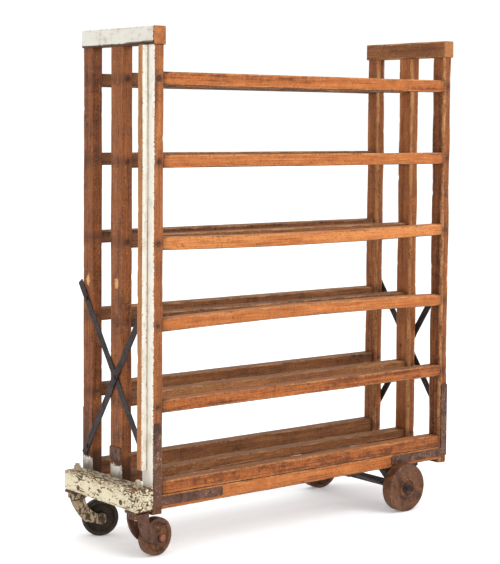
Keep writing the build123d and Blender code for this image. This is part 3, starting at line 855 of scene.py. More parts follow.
@dataclass(frozen=True)
class Coat:
    """Old paint over timber.

    Attributes:
        colour: the clean paint.
        dirt: the paint where dust and hands have dulled it.
        cracks: how dark its cracks are; 0 for paint that neither cracks nor flakes.
        chips: how readily it chips away from the edges.
    """

    colour: Colour
    dirt: Colour
    cracks: float = 0.0
    chips: float = 0.35

    PATTERNS: ClassVar[dict[str, Pattern]] = {
        "ragged": Pattern(95.0, 95.0, 6.0, 0.8),
        "broad": Pattern(24.0, 24.0, 4.0, 0.5),
        "peel": Pattern(150.0, 150.0, 4.0, 0.8),
        "smear": Pattern(20.0, 120.0, 5.0, 0.3),
    }
    SHARDS: ClassVar[Pattern] = Pattern(30.0, 85.0, 6.0, 1.2)
    CRAZING: ClassVar[Pattern] = Pattern(48.0, 120.0)
    CHIP: ClassVar[Layer] = Layer("chip", "grime_and_shade", (("peel", 1.0),), 0.56, 0.63)
    LOSS_SHARE: ClassVar[float] = 0.5
    COVER: ClassVar[Layer] = Layer(
        "cover", "colour", (("coat", 1.0), ("ragged", 0.42), ("broad", 0.28), ("loss", -0.9)),
        0.80, 0.86,
    )
    SMEARS: ClassVar[Layer] = Layer(
        "smears", "dirt", (("smear", 0.6), ("broad", 0.6)), 0.56, 0.86
    )
    # darkens the paint where the grime mark is high: dirt, and painted shadow at the left top
    # rail's foot
    SOIL_AND_SHADE: ClassVar[Layer] = Layer(
        "paint_soil_and_shade", "grime_and_shade", (("grime_and_shade", 1.0), ("broad", 0.7)), 0.75, 1.5, 0.75
    )
    LIFTED: ClassVar[Layer] = Layer(
        "lifted", "grime_and_shade", (("shards", 1.0), ("flake", 0.11)), 0.60, 0.635
    )
    TORN: ClassVar[Layer] = Layer("torn", "grime_and_shade", (("flake", 1.0), ("broad", 0.8)), 0.3, 1.2)
    SPLIT: ClassVar[Layer] = Layer("split", "grime_and_shade", (("crazing", 1.0),), 0.06, 0.01)
    FILM_HEIGHT: ClassVar[float] = 0.8
    CRACK_HEIGHT: ClassVar[float] = -0.7
    WOOD_HEIGHT: ClassVar[float] = 0.5          # share of the wood's relief that shows
    PAINT_HEIGHT: ClassVar[float] = 0.6
    WOOD_ROUGH: ClassVar[float] = 0.8
    PAINT_ROUGH: ClassVar[float] = 0.1

    def over(
        self, sheet: NodeSheet, grain: Axis, fields: dict[str, Socket], grime_and_shade: Colour,
        wood: Surface,
    ) -> Surface:
        """Lays the paint over wood, ragged where the mark "coat" passes through 0.5.

        Args:
            sheet: the material's nodes.
            grain: direction of the wood's grain.
            fields: the wood's fields.
            grime_and_shade: colour of the dirt in its cracks and joints, and of the painted
                shadow along the left top rail's foot.
            wood: the bare wood's surface.

        Returns:
            The painted surface.
        """
        for name, pattern in self.PATTERNS.items():
            fields[name] = sheet.noise(pattern, grain)
        worn = sheet.sum((fields["arris"], self.LOSS_SHARE), (self.chips, self.LOSS_SHARE))
        fields["loss"] = sheet.times(sheet.reach(self.CHIP, fields), worn)
        cover = sheet.reach(self.COVER, fields)
        film = sheet.lay(self.SMEARS, fields, self.colour, self.dirt)
        film = sheet.lay(self.SOIL_AND_SHADE, fields, film, grime_and_shade)
        relief = [(cover, self.FILM_HEIGHT)]
        if self.cracks > 0.0:
            fields["shards"] = sheet.noise(self.SHARDS, grain)
            fields["crazing"] = sheet.cells(self.CRAZING, grain)
            fields["flake"] = sheet.mark("flake")
            kept = sheet.sum((sheet.reach(self.LIFTED, fields), -1.0), (1.0, 1.0))
            cover = sheet.times(cover, kept)
            torn = sheet.reach(self.TORN, fields)
            split = sheet.times(sheet.reach(self.SPLIT, fields), torn)
            lines = sheet.times(split, self.cracks)
            film = sheet.mix(lines, film, grime_and_shade)
            relief = [(cover, self.FILM_HEIGHT), (lines, self.CRACK_HEIGHT)]
        raised = sheet.sum(*relief)
        return Surface(
            colour=sheet.mix(cover, wood.colour, film),
            rough=sheet.sum((wood.rough, self.WOOD_ROUGH), (cover, self.PAINT_ROUGH)),
            height=sheet.sum((wood.height, self.WOOD_HEIGHT), (raised, self.PAINT_HEIGHT)),
        )


GRAIN_TERMS = (
    ("bands", 0.44), ("streaks", 0.40), ("blotch", 0.42), ("scuffs", 0.34), ("cross", 0.08),
    ("tone", 0.11),
)


@dataclass(frozen=True)
class AgedWood:
    """Oiled timber with grain bands, streaks, scuffs, stains and worn edges.

    Attributes:
        name: the material's name.
        grain: direction of the timber's length.
        pale: the palest bands.
        body: its main colour.
        deep: the darkest bands and lines.
        worn: bare wood on rubbed edges and scars, also the painted highlight on the right
            posts' edges.
        grime_and_shade: black dirt, and painted shade under the rails and along the left top
            rail's foot.
        stain: iron stains round the pegs.
        coat: paint over it, if any.
    """

    name: str
    grain: Axis
    pale: Colour
    body: Colour
    deep: Colour
    worn: Colour = swatch(204, 150, 98)
    grime_and_shade: Colour = swatch(50, 33, 24)
    stain: Colour = swatch(54, 34, 32)
    coat: Coat | None = None

    PATTERNS: ClassVar[dict[str, Pattern]] = {
        "bands": Pattern(1.6, 42.0, 3.0, 0.6),
        "streaks": Pattern(7.0, 330.0, 5.0, 0.2),
        "pores": Pattern(60.0, 1500.0, 2.0),
        "blotch": Pattern(15.0, 15.0, 5.0, 0.7),
        "scuffs": Pattern(75.0, 75.0, 6.0, 0.4),
        "specks": Pattern(260.0, 260.0, 3.0),
        "cross": Pattern(130.0, 7.0, 3.0),
        "rubbed": Pattern(11.0, 60.0, 5.0, 0.5),
    }
    MARKS: ClassVar[tuple[str, ...]] = (
        "arris", "tone", "dust_wear_and_sheen", "grime_and_shade", "stain", "scar", "coat",
    )
    LAYERS: ClassVar[tuple[Layer, ...]] = (
        Layer("heartwood", "body", GRAIN_TERMS, 0.60, 0.86),
        Layer("sapwood", "pale", GRAIN_TERMS, 0.82, 1.12),
        Layer("dark_lines", "deep", (("streaks", 1.0),), 0.43, 0.31, 0.62),
        Layer("dirt", "grime_and_shade", (("blotch", 0.6), ("scuffs", 0.5)), 0.62, 0.76, 0.36),
        Layer("flecks", "grime_and_shade", (("specks", 0.8), ("scuffs", 0.4)), 0.66, 0.78, 0.6),
        Layer("motes", "worn", (("specks", 0.8), ("rubbed", 0.4)), 0.52, 0.42, 0.35),
        Layer(
            "rub", "worn", (("arris", 0.55), ("rubbed", 0.9), ("scuffs", 0.3)),
            0.92, 1.30, 0.6,
        ),
        Layer(
            "nick", "grime_and_shade", (("arris", 0.5), ("specks", 0.7), ("blotch", 0.5)),
            1.08, 1.24, 0.7,
        ),
        # the gloss mark: dust on rail tops, worn bare wood on the batten, and the painted
        # highlight on the right posts' edges
        Layer(
            "pale_wear_and_sheen", "worn", (("dust_wear_and_sheen", 1.0), ("rubbed", 0.5), ("scuffs", 0.2)),
            0.5, 1.3, 0.85,
        ),
        # the grime mark: dirt, and painted shade under the rails and along the left top rail's
        # foot
        Layer(
            "soil_and_shade", "grime_and_shade", (("grime_and_shade", 1.0), ("blotch", 0.6), ("scuffs", 0.35)),
            0.62, 1.25, 0.85,
        ),
        Layer(
            "bleed", "stain", (("stain", 1.0), ("blotch", 0.5), ("scuffs", 0.5)),
            0.82, 1.4, 0.9,
        ),
        Layer(
            "gouge", "worn", (("scar", 1.0), ("scuffs", 0.9), ("specks", 0.4)), 1.05, 1.35
        ),
    )
    RELIEF: ClassVar[Terms] = (
        ("streaks", 0.5), ("pores", 0.25), ("scuffs", 0.35), ("nick", -0.5),
    )
    ROUGHNESS: ClassVar[Terms] = (("blotch", 0.3), ("scuffs", 0.2), ("rub", -0.08))
    ROUGH_BASE: ClassVar[float] = 0.38
    SPECULAR: ClassVar[float] = 0.14
    BUMP_DEPTH: ClassVar[float] = 1.3 * MM

    def make(self) -> bpy.types.Material:
        """Builds the node material: the grain, then each layer of wear over the last.

        Returns:
            The material.
        """
        sheet = NodeSheet(self.name)
        fields = {key: sheet.noise(item, self.grain) for key, item in self.PATTERNS.items()}
        fields.update({key: sheet.mark(key) for key in self.MARKS})
        colour = self.deep
        for layer in self.LAYERS:
            colour = sheet.lay(layer, fields, colour, getattr(self, layer.tint))
        rough = sheet.blend(fields, self.ROUGHNESS, self.ROUGH_BASE)
        surface = Surface(colour, rough, sheet.blend(fields, self.RELIEF))
        if self.coat is not None:
            surface = self.coat.over(sheet, self.grain, fields, self.grime_and_shade, surface)
        sheet.shader.inputs["Specular IOR Level"].default_value = self.SPECULAR
        return sheet.finish(surface, self.BUMP_DEPTH)


@dataclass(frozen=True)
class OldIron:
    """Dark or rusty iron: blotches of scale and rust, pits and rubbed high spots.

    Attributes:
        name: the material's name.
        body: its main colour.
        rust: colour of the rust.
        dark: soot and pits.
        rubbed: crust and rubbed high spots.
        rusty: how much of it is rust, 0 to 1.
        pits: how dark its pits are.
        metallic: how metallic it looks.
        chipped: how dark the chips in its paint are.
    """

    name: str
    body: Colour
    rust: Colour
    dark: Colour
    rubbed: Colour
    rusty: float = 0.5
    pits: float = 0.5
    metallic: float = 0.35
    chipped: float = 0.0

    PATTERNS: ClassVar[dict[str, Pattern]] = {
        "blotch": Pattern(34.0, 34.0, 6.0, 0.8),
        "grain": Pattern(240.0, 240.0, 5.0, 0.3),
        "fine": Pattern(900.0, 900.0, 2.0),
        "smoke": Pattern(22.0, 22.0, 5.0, 1.0),
        "peel": Pattern(60.0, 85.0, 6.0, 1.0),
    }
    RUST_START: ClassVar[tuple[float, float]] = (0.78, -0.3)     # fresh, change when rusty
    RUST_END: ClassVar[tuple[float, float]] = (0.9, -0.2)
    RELIEF: ClassVar[Terms] = (("grain", 0.7), ("fine", 0.2), ("rusted", 0.3))
    ROUGHNESS: ClassVar[Terms] = (("grain", 0.4), ("rusted", 0.2))
    ROUGH_BASE: ClassVar[float] = 0.32
    SPECULAR: ClassVar[float] = 0.2
    BUMP_DEPTH: ClassVar[float] = 0.5 * MM

    def _layers(self) -> tuple[Layer, ...]:
        """The layers from the lowest to the highest.

        Returns:
            Rust, pits, crust, soot and chips.
        """
        start = self.RUST_START[0] + self.RUST_START[1] * self.rusty
        end = self.RUST_END[0] + self.RUST_END[1] * self.rusty
        return (
            Layer("rusted", "rust", (("blotch", 0.8), ("grain", 0.4)), start, end),
            Layer("pitted", "dark", (("grain", 0.8), ("fine", 0.3)), 0.44, 0.36, self.pits),
            Layer("crust", "rubbed", (("grain", 0.8), ("blotch", 0.3)), 0.60, 0.74, 0.75),
            Layer("soot", "dark", (("smoke", 1.0),), 0.46, 0.64, 0.6),
            Layer("chips", "dark", (("peel", 1.0),), 0.50, 0.55, self.chipped),
        )

    def make(self) -> bpy.types.Material:
        """Builds the node material: each layer of age over the last.

        Returns:
            The material.
        """
        sheet = NodeSheet(self.name)
        fields = {key: sheet.noise(item, Axis.Z) for key, item in self.PATTERNS.items()}
        colour = self.body
        for layer in self._layers():
            colour = sheet.lay(layer, fields, colour, getattr(self, layer.tint))
        rough = sheet.blend(fields, self.ROUGHNESS, self.ROUGH_BASE)
        sheet.shader.inputs["Metallic"].default_value = self.metallic
        sheet.shader.inputs["Specular IOR Level"].default_value = self.SPECULAR
        surface = Surface(colour, rough, sheet.blend(fields, self.RELIEF))
        return sheet.finish(surface, self.BUMP_DEPTH)


@dataclass(frozen=True)
class PaleGround:
    """Almost white studio floor with a faint mottle.

    Attributes:
        name: the material's name.
        low: its darker patches.
        high: its paler patches.
        lift: how much light it gives off by itself.
        rough: its roughness.
        depth: bump distance in metres.
    """

    name: str = "pale_ground"
    low: Colour = (0.95, 0.95, 0.955, 1.0)
    high: Colour = (0.98, 0.98, 0.985, 1.0)
    lift: float = 0.2
    rough: float = 0.9
    depth: float = 0.1 * MM

    def make(self) -> bpy.types.Material:
        """Builds the node material.

        Returns:
            The material.
        """
        sheet = NodeSheet(self.name)
        mottle = sheet.noise(Pattern(1.5, 1.5, 3.0))
        colour = sheet.mix(mottle, self.low, self.high)
        sheet.put(sheet.shader, "Emission Color", colour)
        sheet.shader.inputs["Emission Strength"].default_value = self.lift
        return sheet.finish(Surface(colour, self.rough, mottle), self.depth)


WHITE = Coat(swatch(231, 226, 214), swatch(204, 192, 170), chips=0.5)
GREYISH = Coat(swatch(212, 209, 198), swatch(184, 176, 158), chips=0.5)
CREAM = Coat(swatch(216, 206, 176), swatch(186, 172, 140), cracks=0.8, chips=0.6)
BROWN = (swatch(176, 110, 62), swatch(134, 78, 43), swatch(74, 41, 26))
ORANGE = (swatch(200, 128, 72), swatch(168, 96, 48), swatch(100, 54, 30))
UMBER = (swatch(158, 106, 64), swatch(120, 75, 45), swatch(62, 39, 27))
SOOTY = (swatch(112, 82, 54), swatch(80, 56, 38), swatch(40, 29, 22))
DARK_PEG = (swatch(96, 62, 44), swatch(70, 44, 34), swatch(42, 28, 26))


class Palette:
    """Every material, made once."""

    def __init__(self) -> None:
        """Builds the materials: the woods by grain and paint, then the irons by age."""
        self.post = AgedWood("post_wood", Axis.Z, *BROWN).make()
        self.post_white = AgedWood("post_wood_white", Axis.Z, *BROWN, coat=WHITE).make()
        self.front = AgedWood("front_rail_wood", Axis.X, *ORANGE).make()
        self.rail = AgedWood("rail_wood", Axis.X, *UMBER).make()
        self.end_rail = AgedWood("end_rail_wood", Axis.Y, *UMBER).make()
        self.end_white = AgedWood("end_rail_white", Axis.Y, *BROWN, coat=GREYISH).make()
        self.bolster = AgedWood("bolster_paint", Axis.Y, *SOOTY, coat=CREAM).make()
        self.peg = AgedWood("peg_wood_dark", Axis.Y, *DARK_PEG).make()
        self.strap = OldIron(
            "strap_iron_dark", swatch(52, 44, 44), swatch(78, 54, 44), swatch(24, 20, 22),
            swatch(128, 108, 96), rusty=0.25,
        ).make()
        self.cast = OldIron(
            "cast_iron_brown", swatch(88, 58, 45), swatch(126, 76, 50), swatch(38, 26, 24),
            swatch(160, 124, 98), pits=0.7, metallic=0.1,
        ).make()
        self.wheel = OldIron(
            "wheel_rust", swatch(98, 64, 44), swatch(128, 76, 44), swatch(42, 28, 24),
            swatch(162, 116, 80), rusty=0.5, pits=0.75, metallic=0.1,
        ).make()
        self.plate = OldIron(
            "corner_iron_brown", swatch(94, 62, 48), swatch(118, 72, 50),
            swatch(34, 25, 24), swatch(178, 150, 128), pits=0.8, metallic=0.1,
        ).make()
        # painted shade: a darker copy of the wheel iron for the rear caster's wheel, which
        # sits in the bolster's shadow
        self.wheel_shaded = OldIron(
            "wheel_iron_shaded", swatch(54, 46, 38), swatch(80, 54, 38), swatch(24, 20, 18),
            swatch(110, 88, 70), rusty=0.35, metallic=0.1,
        ).make()
        self.iron_cream = OldIron(
            "iron_cream_paint", swatch(178, 156, 124), swatch(112, 78, 54),
            swatch(46, 34, 28), swatch(206, 192, 164), rusty=0.62, pits=1.0, metallic=0.0,
            chipped=0.9,
        ).make()
        self.nut_cream = OldIron(
            "nut_cream_paint", swatch(206, 190, 162), swatch(150, 104, 72),
            swatch(62, 46, 38), swatch(226, 216, 196), rusty=0.4, pits=0.6, metallic=0.0,
            chipped=0.25,
        ).make()
        self.rust_bright = OldIron(
            "rust_orange", swatch(168, 96, 60), swatch(190, 108, 62), swatch(92, 54, 40),
            swatch(224, 196, 168), metallic=0.1,
        ).make()
        self.fastener = OldIron(
            "fastener_iron_dull", swatch(84, 64, 56), swatch(112, 74, 52),
            swatch(34, 26, 26), swatch(180, 156, 134),
        ).make()


# ---- fitting to the frame -------------------------------------------------------


def settle(
    piece: bpy.types.Object, material: bpy.types.Material, body: str, slot: str, *nodes: str
) -> None:
    """Dresses a piece, puts it on its body, and hides the CAD nodes it stands for.

    Args:
        piece: the new object.
        material: its finish.
        body: the CAD body it rides on.
        slot: a material slot name, not used.
        nodes: CAD nodes it replaces.
    """
    piece.data.materials.append(material)
    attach(piece, body)
    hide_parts(*nodes)
    log.info("%s: %d faces", piece.name, len(piece.data.polygons))


def dress(material: bpy.types.Material, *nodes: str) -> None:
    """Gives carried-over CAD nodes a finish through their material slots.

    Args:
        material: the finish.
        nodes: names of the CAD nodes.
    """
    for name in nodes:
        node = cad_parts[name]
        if not node.material_slots:
            node.data.materials.append(material)
        for held in node.material_slots:
            held.material = material
        log.info("%s: finish %s", name, material.name)


def corners(node: str) -> tuple[np.ndarray, np.ndarray]:
    """Lowest and highest corner of a CAD node as arrays."""
    low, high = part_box(node)
    return np.array(low), np.array(high)


def rail_corners(number: int, row: Row) -> tuple[np.ndarray, np.ndarray, float]:
    """Corners of a shelf rail without its bow, and how far it rises halfway along.

    Args:
        number: shelf number, 1 is the lowest.
        row: which of the three rows the rail lies in.

    Returns:
        Lowest corner, highest corner and bow.
    """
    low, high = corners(f"shelf_{number}_{row.name.lower()}_rail")
    bow = BOWS.get(number, 0.0) if row is Row.FRONT else 0.0
    low[2] -= min(bow, 0.0)
    high[2] -= max(bow, 0.0)
    return low, high, bow


@dataclass(frozen=True)
class PostJoint:
    """How a long rail meets the end posts: a thin tenon right through each of them.

    Attributes:
        half: half the tenon's thickness.
        offset: how far the tenon lies outwards of the rail's middle.
        shoulder: how far it stands in from the rail's top and bottom.
        painted_over: depth of the tenon's end under the left front post's paint.
    """

    half: float = 5.0 * MM
    offset: float = 12.0 * MM
    shoulder: float = 3.0 * MM
    painted_over: float = 1.5 * MM

    def tenons(self, low: np.ndarray, high: np.ndarray, row: Row) -> Tenons:
        """Places the tenons of a rail.

        Args:
            low: the rail's lowest corner.
            high: its highest corner.
            row: which of the three rows it lies in.

        Returns:
            The tenons; the rail's body lies between the end posts.
        """
        middle = (low[1] + high[1]) / 2 + row.value * self.offset
        return Tenons(
            (middle - self.half, low[2] + self.shoulder),
            (middle + self.half, high[2] - self.shoulder),
            corners("left_front_post")[1][0],
            corners("right_front_post")[0][0],
        )


# ---- sub-assemblies -------------------------------------------------------------


@dataclass
class EndFrame:
    """Three posts, a top rail, a bottom rail and crossed straps at one end."""

    end: End
    palette: Palette
    post_sway: float = 0.6 * MM
    rail_sway: float = 0.8 * MM
    edge_left: float = 4.0 * MM
    edge_right: float = 8.5 * MM
    edge_top: float = 5.0 * MM
    into_top: float = 2.0 * MM          # how far a post reaches up into the top rail
    peg_small: float = 10.0 * MM        # reach of the dark stain round a peg
    peg_large: float = 15.0 * MM
    peg_faint: float = 0.6              # strength of the stains on the other posts
    upper_pegs: int = 4                 # first shelf with the large stains
    joint_darkening: float = 0.45
    joint_reach: float = 30.0 * MM
    low_paint: float = 0.302            # top of the paint on the left end's feet
    low_fade: tuple[float, float] = (-70.0 * MM, 40.0 * MM)
    low_grime: float = 0.55
    foot_paint: float = 0.176           # lowest paint on the left front post
    foot_fade: float = 10.0 * MM
    foot_grime: float = 0.5
    foot_reach: float = 30.0 * MM
    spill: float = 0.66                 # paint that runs round an edge
    spill_reach: float = 9.0 * MM
    scar_height: float = 0.930
    scar_tall: float = 24.0 * MM
    scar_wide: float = 14.0 * MM
    scar_deep: float = 1.2 * MM
    dull_edges: float = 0.45
    shine: float = 0.72                 # painted highlight streaks on the right end's edges
    shine_front: float = 0.35
    shine_sharp: int = 6
    shine_floor: float = 0.3
    shine_rise: tuple[float, float] = (0.8, 1.5)
    end_grain: float = 2.2              # how much paler the sawn ends of the top rail are
    over_paint: float = 0.55            # how far the paint reaches over the top rail
    paint_inset: tuple[float, float] = (-4.0 * MM, 8.0 * MM)
    bare_start: float = 1.0 * MM        # the bare strip along the left top rail's foot, darkened as a painted shadow under the rail
    bare_narrow: float = 12.0 * MM
    bare_more: float = 6.0 * MM
    bare_run: float = 0.15
    bare_shadow: float = 2.0
    bare_shadow_step: tuple[float, float] = (0.15, 0.45)
    foot_rail_grime: float = 0.3
    strap_wide: float = 28.0 * MM
    strap_thick: float = 4.0 * MM
    strap_a: Line = ((0.232, 0.922), (-0.170, 0.348))
    strap_b: Line = ((-0.170, 0.862), (0.206, 0.295))
    strap_step: float = 6.0 * MM
    strap_soft: float = 0.6 * MM
    strap_edge: float = 1.0 * MM
    strap_dents: float = 0.15 * MM
    strap_dent_length: float = 40.0 * MM
    joggle_half: float = 30.0 * MM
    joggle_ramp: float = 45.0 * MM

    TONES: ClassVar[dict[tuple[End, Row], float]] = {
        (End.LEFT, Row.FRONT): 0.2, (End.LEFT, Row.MIDDLE): -0.1, (End.LEFT, Row.REAR): -0.8,
        (End.RIGHT, Row.FRONT): -0.6, (End.RIGHT, Row.MIDDLE): 0.6, (End.RIGHT, Row.REAR): 0.0,
    }

    def build(self) -> None:
        """Builds every piece of this end."""
        for row in Row:
            self.post(row)
        self.top_rail()
        self.bottom_rail()
        self.strap("a", self.strap_a, 0.0)
        self.strap("b", self.strap_b, 1.0)

    @property
    def side(self) -> str:
        """The end's name in lower case."""
        return self.end.name.lower()

    @property
    def is_left(self) -> bool:
        """Whether this is the painted left end."""
        return self.end is End.LEFT

    def post(self, row: Row) -> None:
        """A worn post: stains round its pegs, darker bands at its joints, paint on its face,
        and at the right end a painted highlight on one edge.

        Args:
            row: which of the three rows it stands in.
        """
        name = f"{self.side}_{row.name.lower()}_post"
        low, high = corners(name)
        high[2] = corners(f"{self.side}_top_rail")[0][2] + self.into_top
        seed = Seed.POST + 10 * row.value + 3 * self.end.value
        edge = self.edge_left if self.is_left else self.edge_right
        skin = Timber(low, high, Axis.Z, seed, edge=edge, sway=self.post_sway).skin()
        skin.marks["tone"] = np.full(skin.points.shape[:2], self.TONES[self.end, row])
        middle = (low + high) / 2
        self._stain_joints(skin, row, middle[0])
        if not self.is_left:
            self._paint_edge_highlight(skin, row)
        elif row is Row.FRONT:
            self._paint_front(skin, low[0])
        else:
            self._paint_foot(skin, middle[1])
        if self.is_left:
            skin.marks["arris"] = skin.marks["arris"] * self.dull_edges
        slot = "white_paint" if self.is_left and row is Row.FRONT else "aged_wood"
        finish = self.palette.post_white if self.is_left else self.palette.post
        settle(skin.to_object("worn_" + name), finish, "cart", slot, name)

    def _stain_joints(self, skin: Skin, row: Row, centre: float) -> None:
        """A dark round stain at every peg, and a darker band at every rail.

        Args:
            skin: the post's surface; gets its "stain" and "grime".
            row: which of the three rows it stands in.
            centre: X of the pegs.
        """
        x, z = skin.points[..., 0], skin.points[..., 2]
        to_front = np.clip(-skin.outward[..., 1], 0.0, 1.0)
        strong = self.is_left and row is not Row.REAR
        for shelf in range(1, SHELF_COUNT + 1):
            rail_low, rail_high, _ = rail_corners(shelf, row)
            level = (rail_low[2] + rail_high[2]) / 2
            large = strong and shelf >= self.upper_pegs
            reach = self.peg_large if large else self.peg_small
            spot = bell(z, level, reach) * bell(x, centre, reach)
            skin.marks["stain"] += spot * to_front * (1.0 if strong else self.peg_faint)
            skin.marks["grime_and_shade"] += self.joint_darkening * bell(z, level, self.joint_reach)

    def _paint_front(self, skin: Skin, edge: float) -> None:
        """Paint over the outer face that runs round onto the front; a grimy foot.

        Args:
            skin: the post's surface; gets its "coat" and more "grime".
            edge: X of the outer face.
        """
        x, z = skin.points[..., 0], skin.points[..., 2]
        to_front = np.clip(-skin.outward[..., 1], 0.0, 1.0)
        spill = self.spill * np.exp(-(x - edge) / self.spill_reach)
        coat = np.maximum(self._facing_out(skin), spill * to_front)
        skin.marks["coat"] = coat * ease(z, self.foot_paint, self.foot_paint + self.foot_fade)
        rise = ease(z, self.foot_paint, self.foot_paint + self.foot_reach)
        skin.marks["grime_and_shade"] += self.foot_grime * (1.0 - rise)

    def _paint_foot(self, skin: Skin, centre: float) -> None:
        """Paint on the lowest part of the outer face, and one gouge higher up.

        Args:
            skin: the post's surface; gets its "coat", "scar" and more "grime".
            centre: Y of the gouge.
        """
        y, z = skin.points[..., 1], skin.points[..., 2]
        to_out = self._facing_out(skin)
        start, end = (self.low_paint + fade for fade in self.low_fade)
        skin.marks["coat"] = to_out * (1.0 - ease(z, start, end))
        skin.marks["grime_and_shade"] += self.low_grime * (1.0 - ease(z, self.low_paint, end))
        spot = bell(z, self.scar_height, self.scar_tall) * to_out
        skin.marks["scar"] = spot * bell(y, centre, self.scar_wide)
        skin.press(skin.marks["scar"] * self.scar_deep)

    def _paint_edge_highlight(self, skin: Skin, row: Row) -> None:
        """A painted highlight: golden streaks on the edge that faces front and left, stronger
        higher up.

        Args:
            skin: the post's surface; gets the painted highlight as a mark.
            row: which of the three rows it stands in.
        """
        facing = -(skin.outward[..., 0] + skin.outward[..., 1]) / math.sqrt(2)
        shine = self.shine_front if row is Row.FRONT else self.shine
        rise = (1.0 - self.shine_floor) * ease(skin.points[..., 2], *self.shine_rise)
        edge = np.clip(facing, 0.0, 1.0) ** self.shine_sharp
        skin.marks["dust_wear_and_sheen"] = shine * edge * (self.shine_floor + rise)

    def _facing_out(self, skin: Skin) -> np.ndarray:
        """How far each point faces away from the trolley's middle, 0 to 1."""
        return np.clip(skin.outward[..., 0] * self.end.value, 0.0, 1.0)

    def top_rail(self) -> None:
        """The rail over the posts: painted outside at the left, bare at its ends, with a
        painted shadow along the left rail's foot.
        """
        name = f"{self.side}_top_rail"
        low, high = corners(name)
        seed = Seed.TOP_RAIL + self.end.value
        timber = Timber(low, high, Axis.Y, seed, edge=self.edge_top, sway=self.rail_sway)
        skin = timber.skin()
        x, y, z = np.moveaxis(skin.points, -1, 0)
        over = np.clip(skin.outward[..., 2], 0.0, 1.0)
        on_end = np.abs(skin.outward[..., 1])
        inside = ease(y - low[1], *self.paint_inset)
        bare = np.zeros_like(z)
        if self.is_left:
            ragged = self.bare_narrow + self.bare_more * ease(-y, 0.0, self.bare_run)
            bare = 1.0 - ease(z, low[2] + self.bare_start, low[2] + ragged)
        edge = self.spill * np.exp(-(x - low[0]) / self.spill_reach) * on_end
        face = np.clip(self._facing_out(skin) + self.over_paint * over, 0.0, 1.0) * inside
        skin.marks["coat"] = np.maximum(face, edge) * (1.0 - bare)
        # painted shadow under the rail: the bare strip is darkened, but not on the ends
        skin.marks["grime_and_shade"] = self.bare_shadow * ease(bare, *self.bare_shadow_step) * (1.0 - on_end)
        skin.marks["tone"] = skin.marks["tone"] + self.end_grain * on_end
        finish = self.palette.end_white if self.is_left else self.palette.end_rail
        slot = "white_paint" if self.is_left else "aged_wood"
        settle(skin.to_object("worn_" + name), finish, "cart", slot, name)

    def bottom_rail(self) -> None:
        """The rail between the outer posts' feet."""
        name = f"{self.side}_bottom_rail"
        low, high = corners(name)
        seed = Seed.BOTTOM_RAIL + self.end.value
        skin = Timber(low, high, Axis.Y, seed, sway=self.rail_sway).skin()
        skin.marks["grime_and_shade"] = skin.marks["grime_and_shade"] + self.foot_rail_grime
        settle(
            skin.to_object("worn_" + name), self.palette.end_rail, "cart", "aged_wood", name
        )

    def strap(self, letter: str, ends: Line, lift: float) -> None:
        """A flat bar between two places on the outer face; strap b steps over strap a.

        The bar's section follows a straight line in the YZ plane.  Its distance from
        the posts rises by one thickness over smooth ramps either side of the crossing.

        Args:
            letter: "a" or "b".
            ends: (Y, Z) of both ends.
            lift: 1 where the strap steps over the other, else 0.
        """
        name = f"{self.side}_brace_{letter}"
        start, stop = np.array(ends[0]), np.array(ends[1])
        length = float(np.linalg.norm(stop - start))
        way = (stop - start) / length
        place, narrow, scale = end_rings(0.0, length, self.strap_step, self.strap_soft)
        distance = np.abs(place - self._crossing(start, way))
        raised = 1.0 - ease(distance, self.joggle_half, self.joggle_half + self.joggle_ramp)
        low, high = corners(name)
        face = high[0] if self.is_left else low[0]
        offset = self.strap_thick * (0.5 + lift * raised) * self.end.value
        flat = start + place[:, None] * way
        spine = np.column_stack([face + offset, flat])
        across = np.tile([1.0, 0.0, 0.0], (len(place), 1))
        tangent = np.tile([0.0, *way], (len(place), 1))
        up = np.cross(tangent, across)
        half = np.array([self.strap_thick, self.strap_wide]) / 2
        limit = half[None] - narrow[:, None]
        radius = np.full((len(place), 4), self.strap_edge)
        skin = carry_section(spine, across, up, -limit, limit, radius, scale)
        dents = np.tanh(ripple(skin.points, Seed.STRAP, self.strap_dent_length))
        skin.press(self.strap_dents * (1 + dents))
        settle(
            skin.to_object("forged_" + name), self.palette.strap, "cart", "strap_iron", name
        )

    def _crossing(self, start: np.ndarray, way: np.ndarray) -> float:
        """Distance from a strap's start to where the two straps cross.

        Args:
            start: the strap's start.
            way: its unit direction.

        Returns:
            The distance, from the crossing of two straight lines.
        """
        a_start, a_stop = map(np.array, self.strap_a)
        b_start, b_stop = map(np.array, self.strap_b)
        table = np.column_stack([a_stop - a_start, b_start - b_stop])
        share = np.linalg.solve(table, b_start - a_start)[0]
        return float((a_start + share * (a_stop - a_start) - start) @ way)


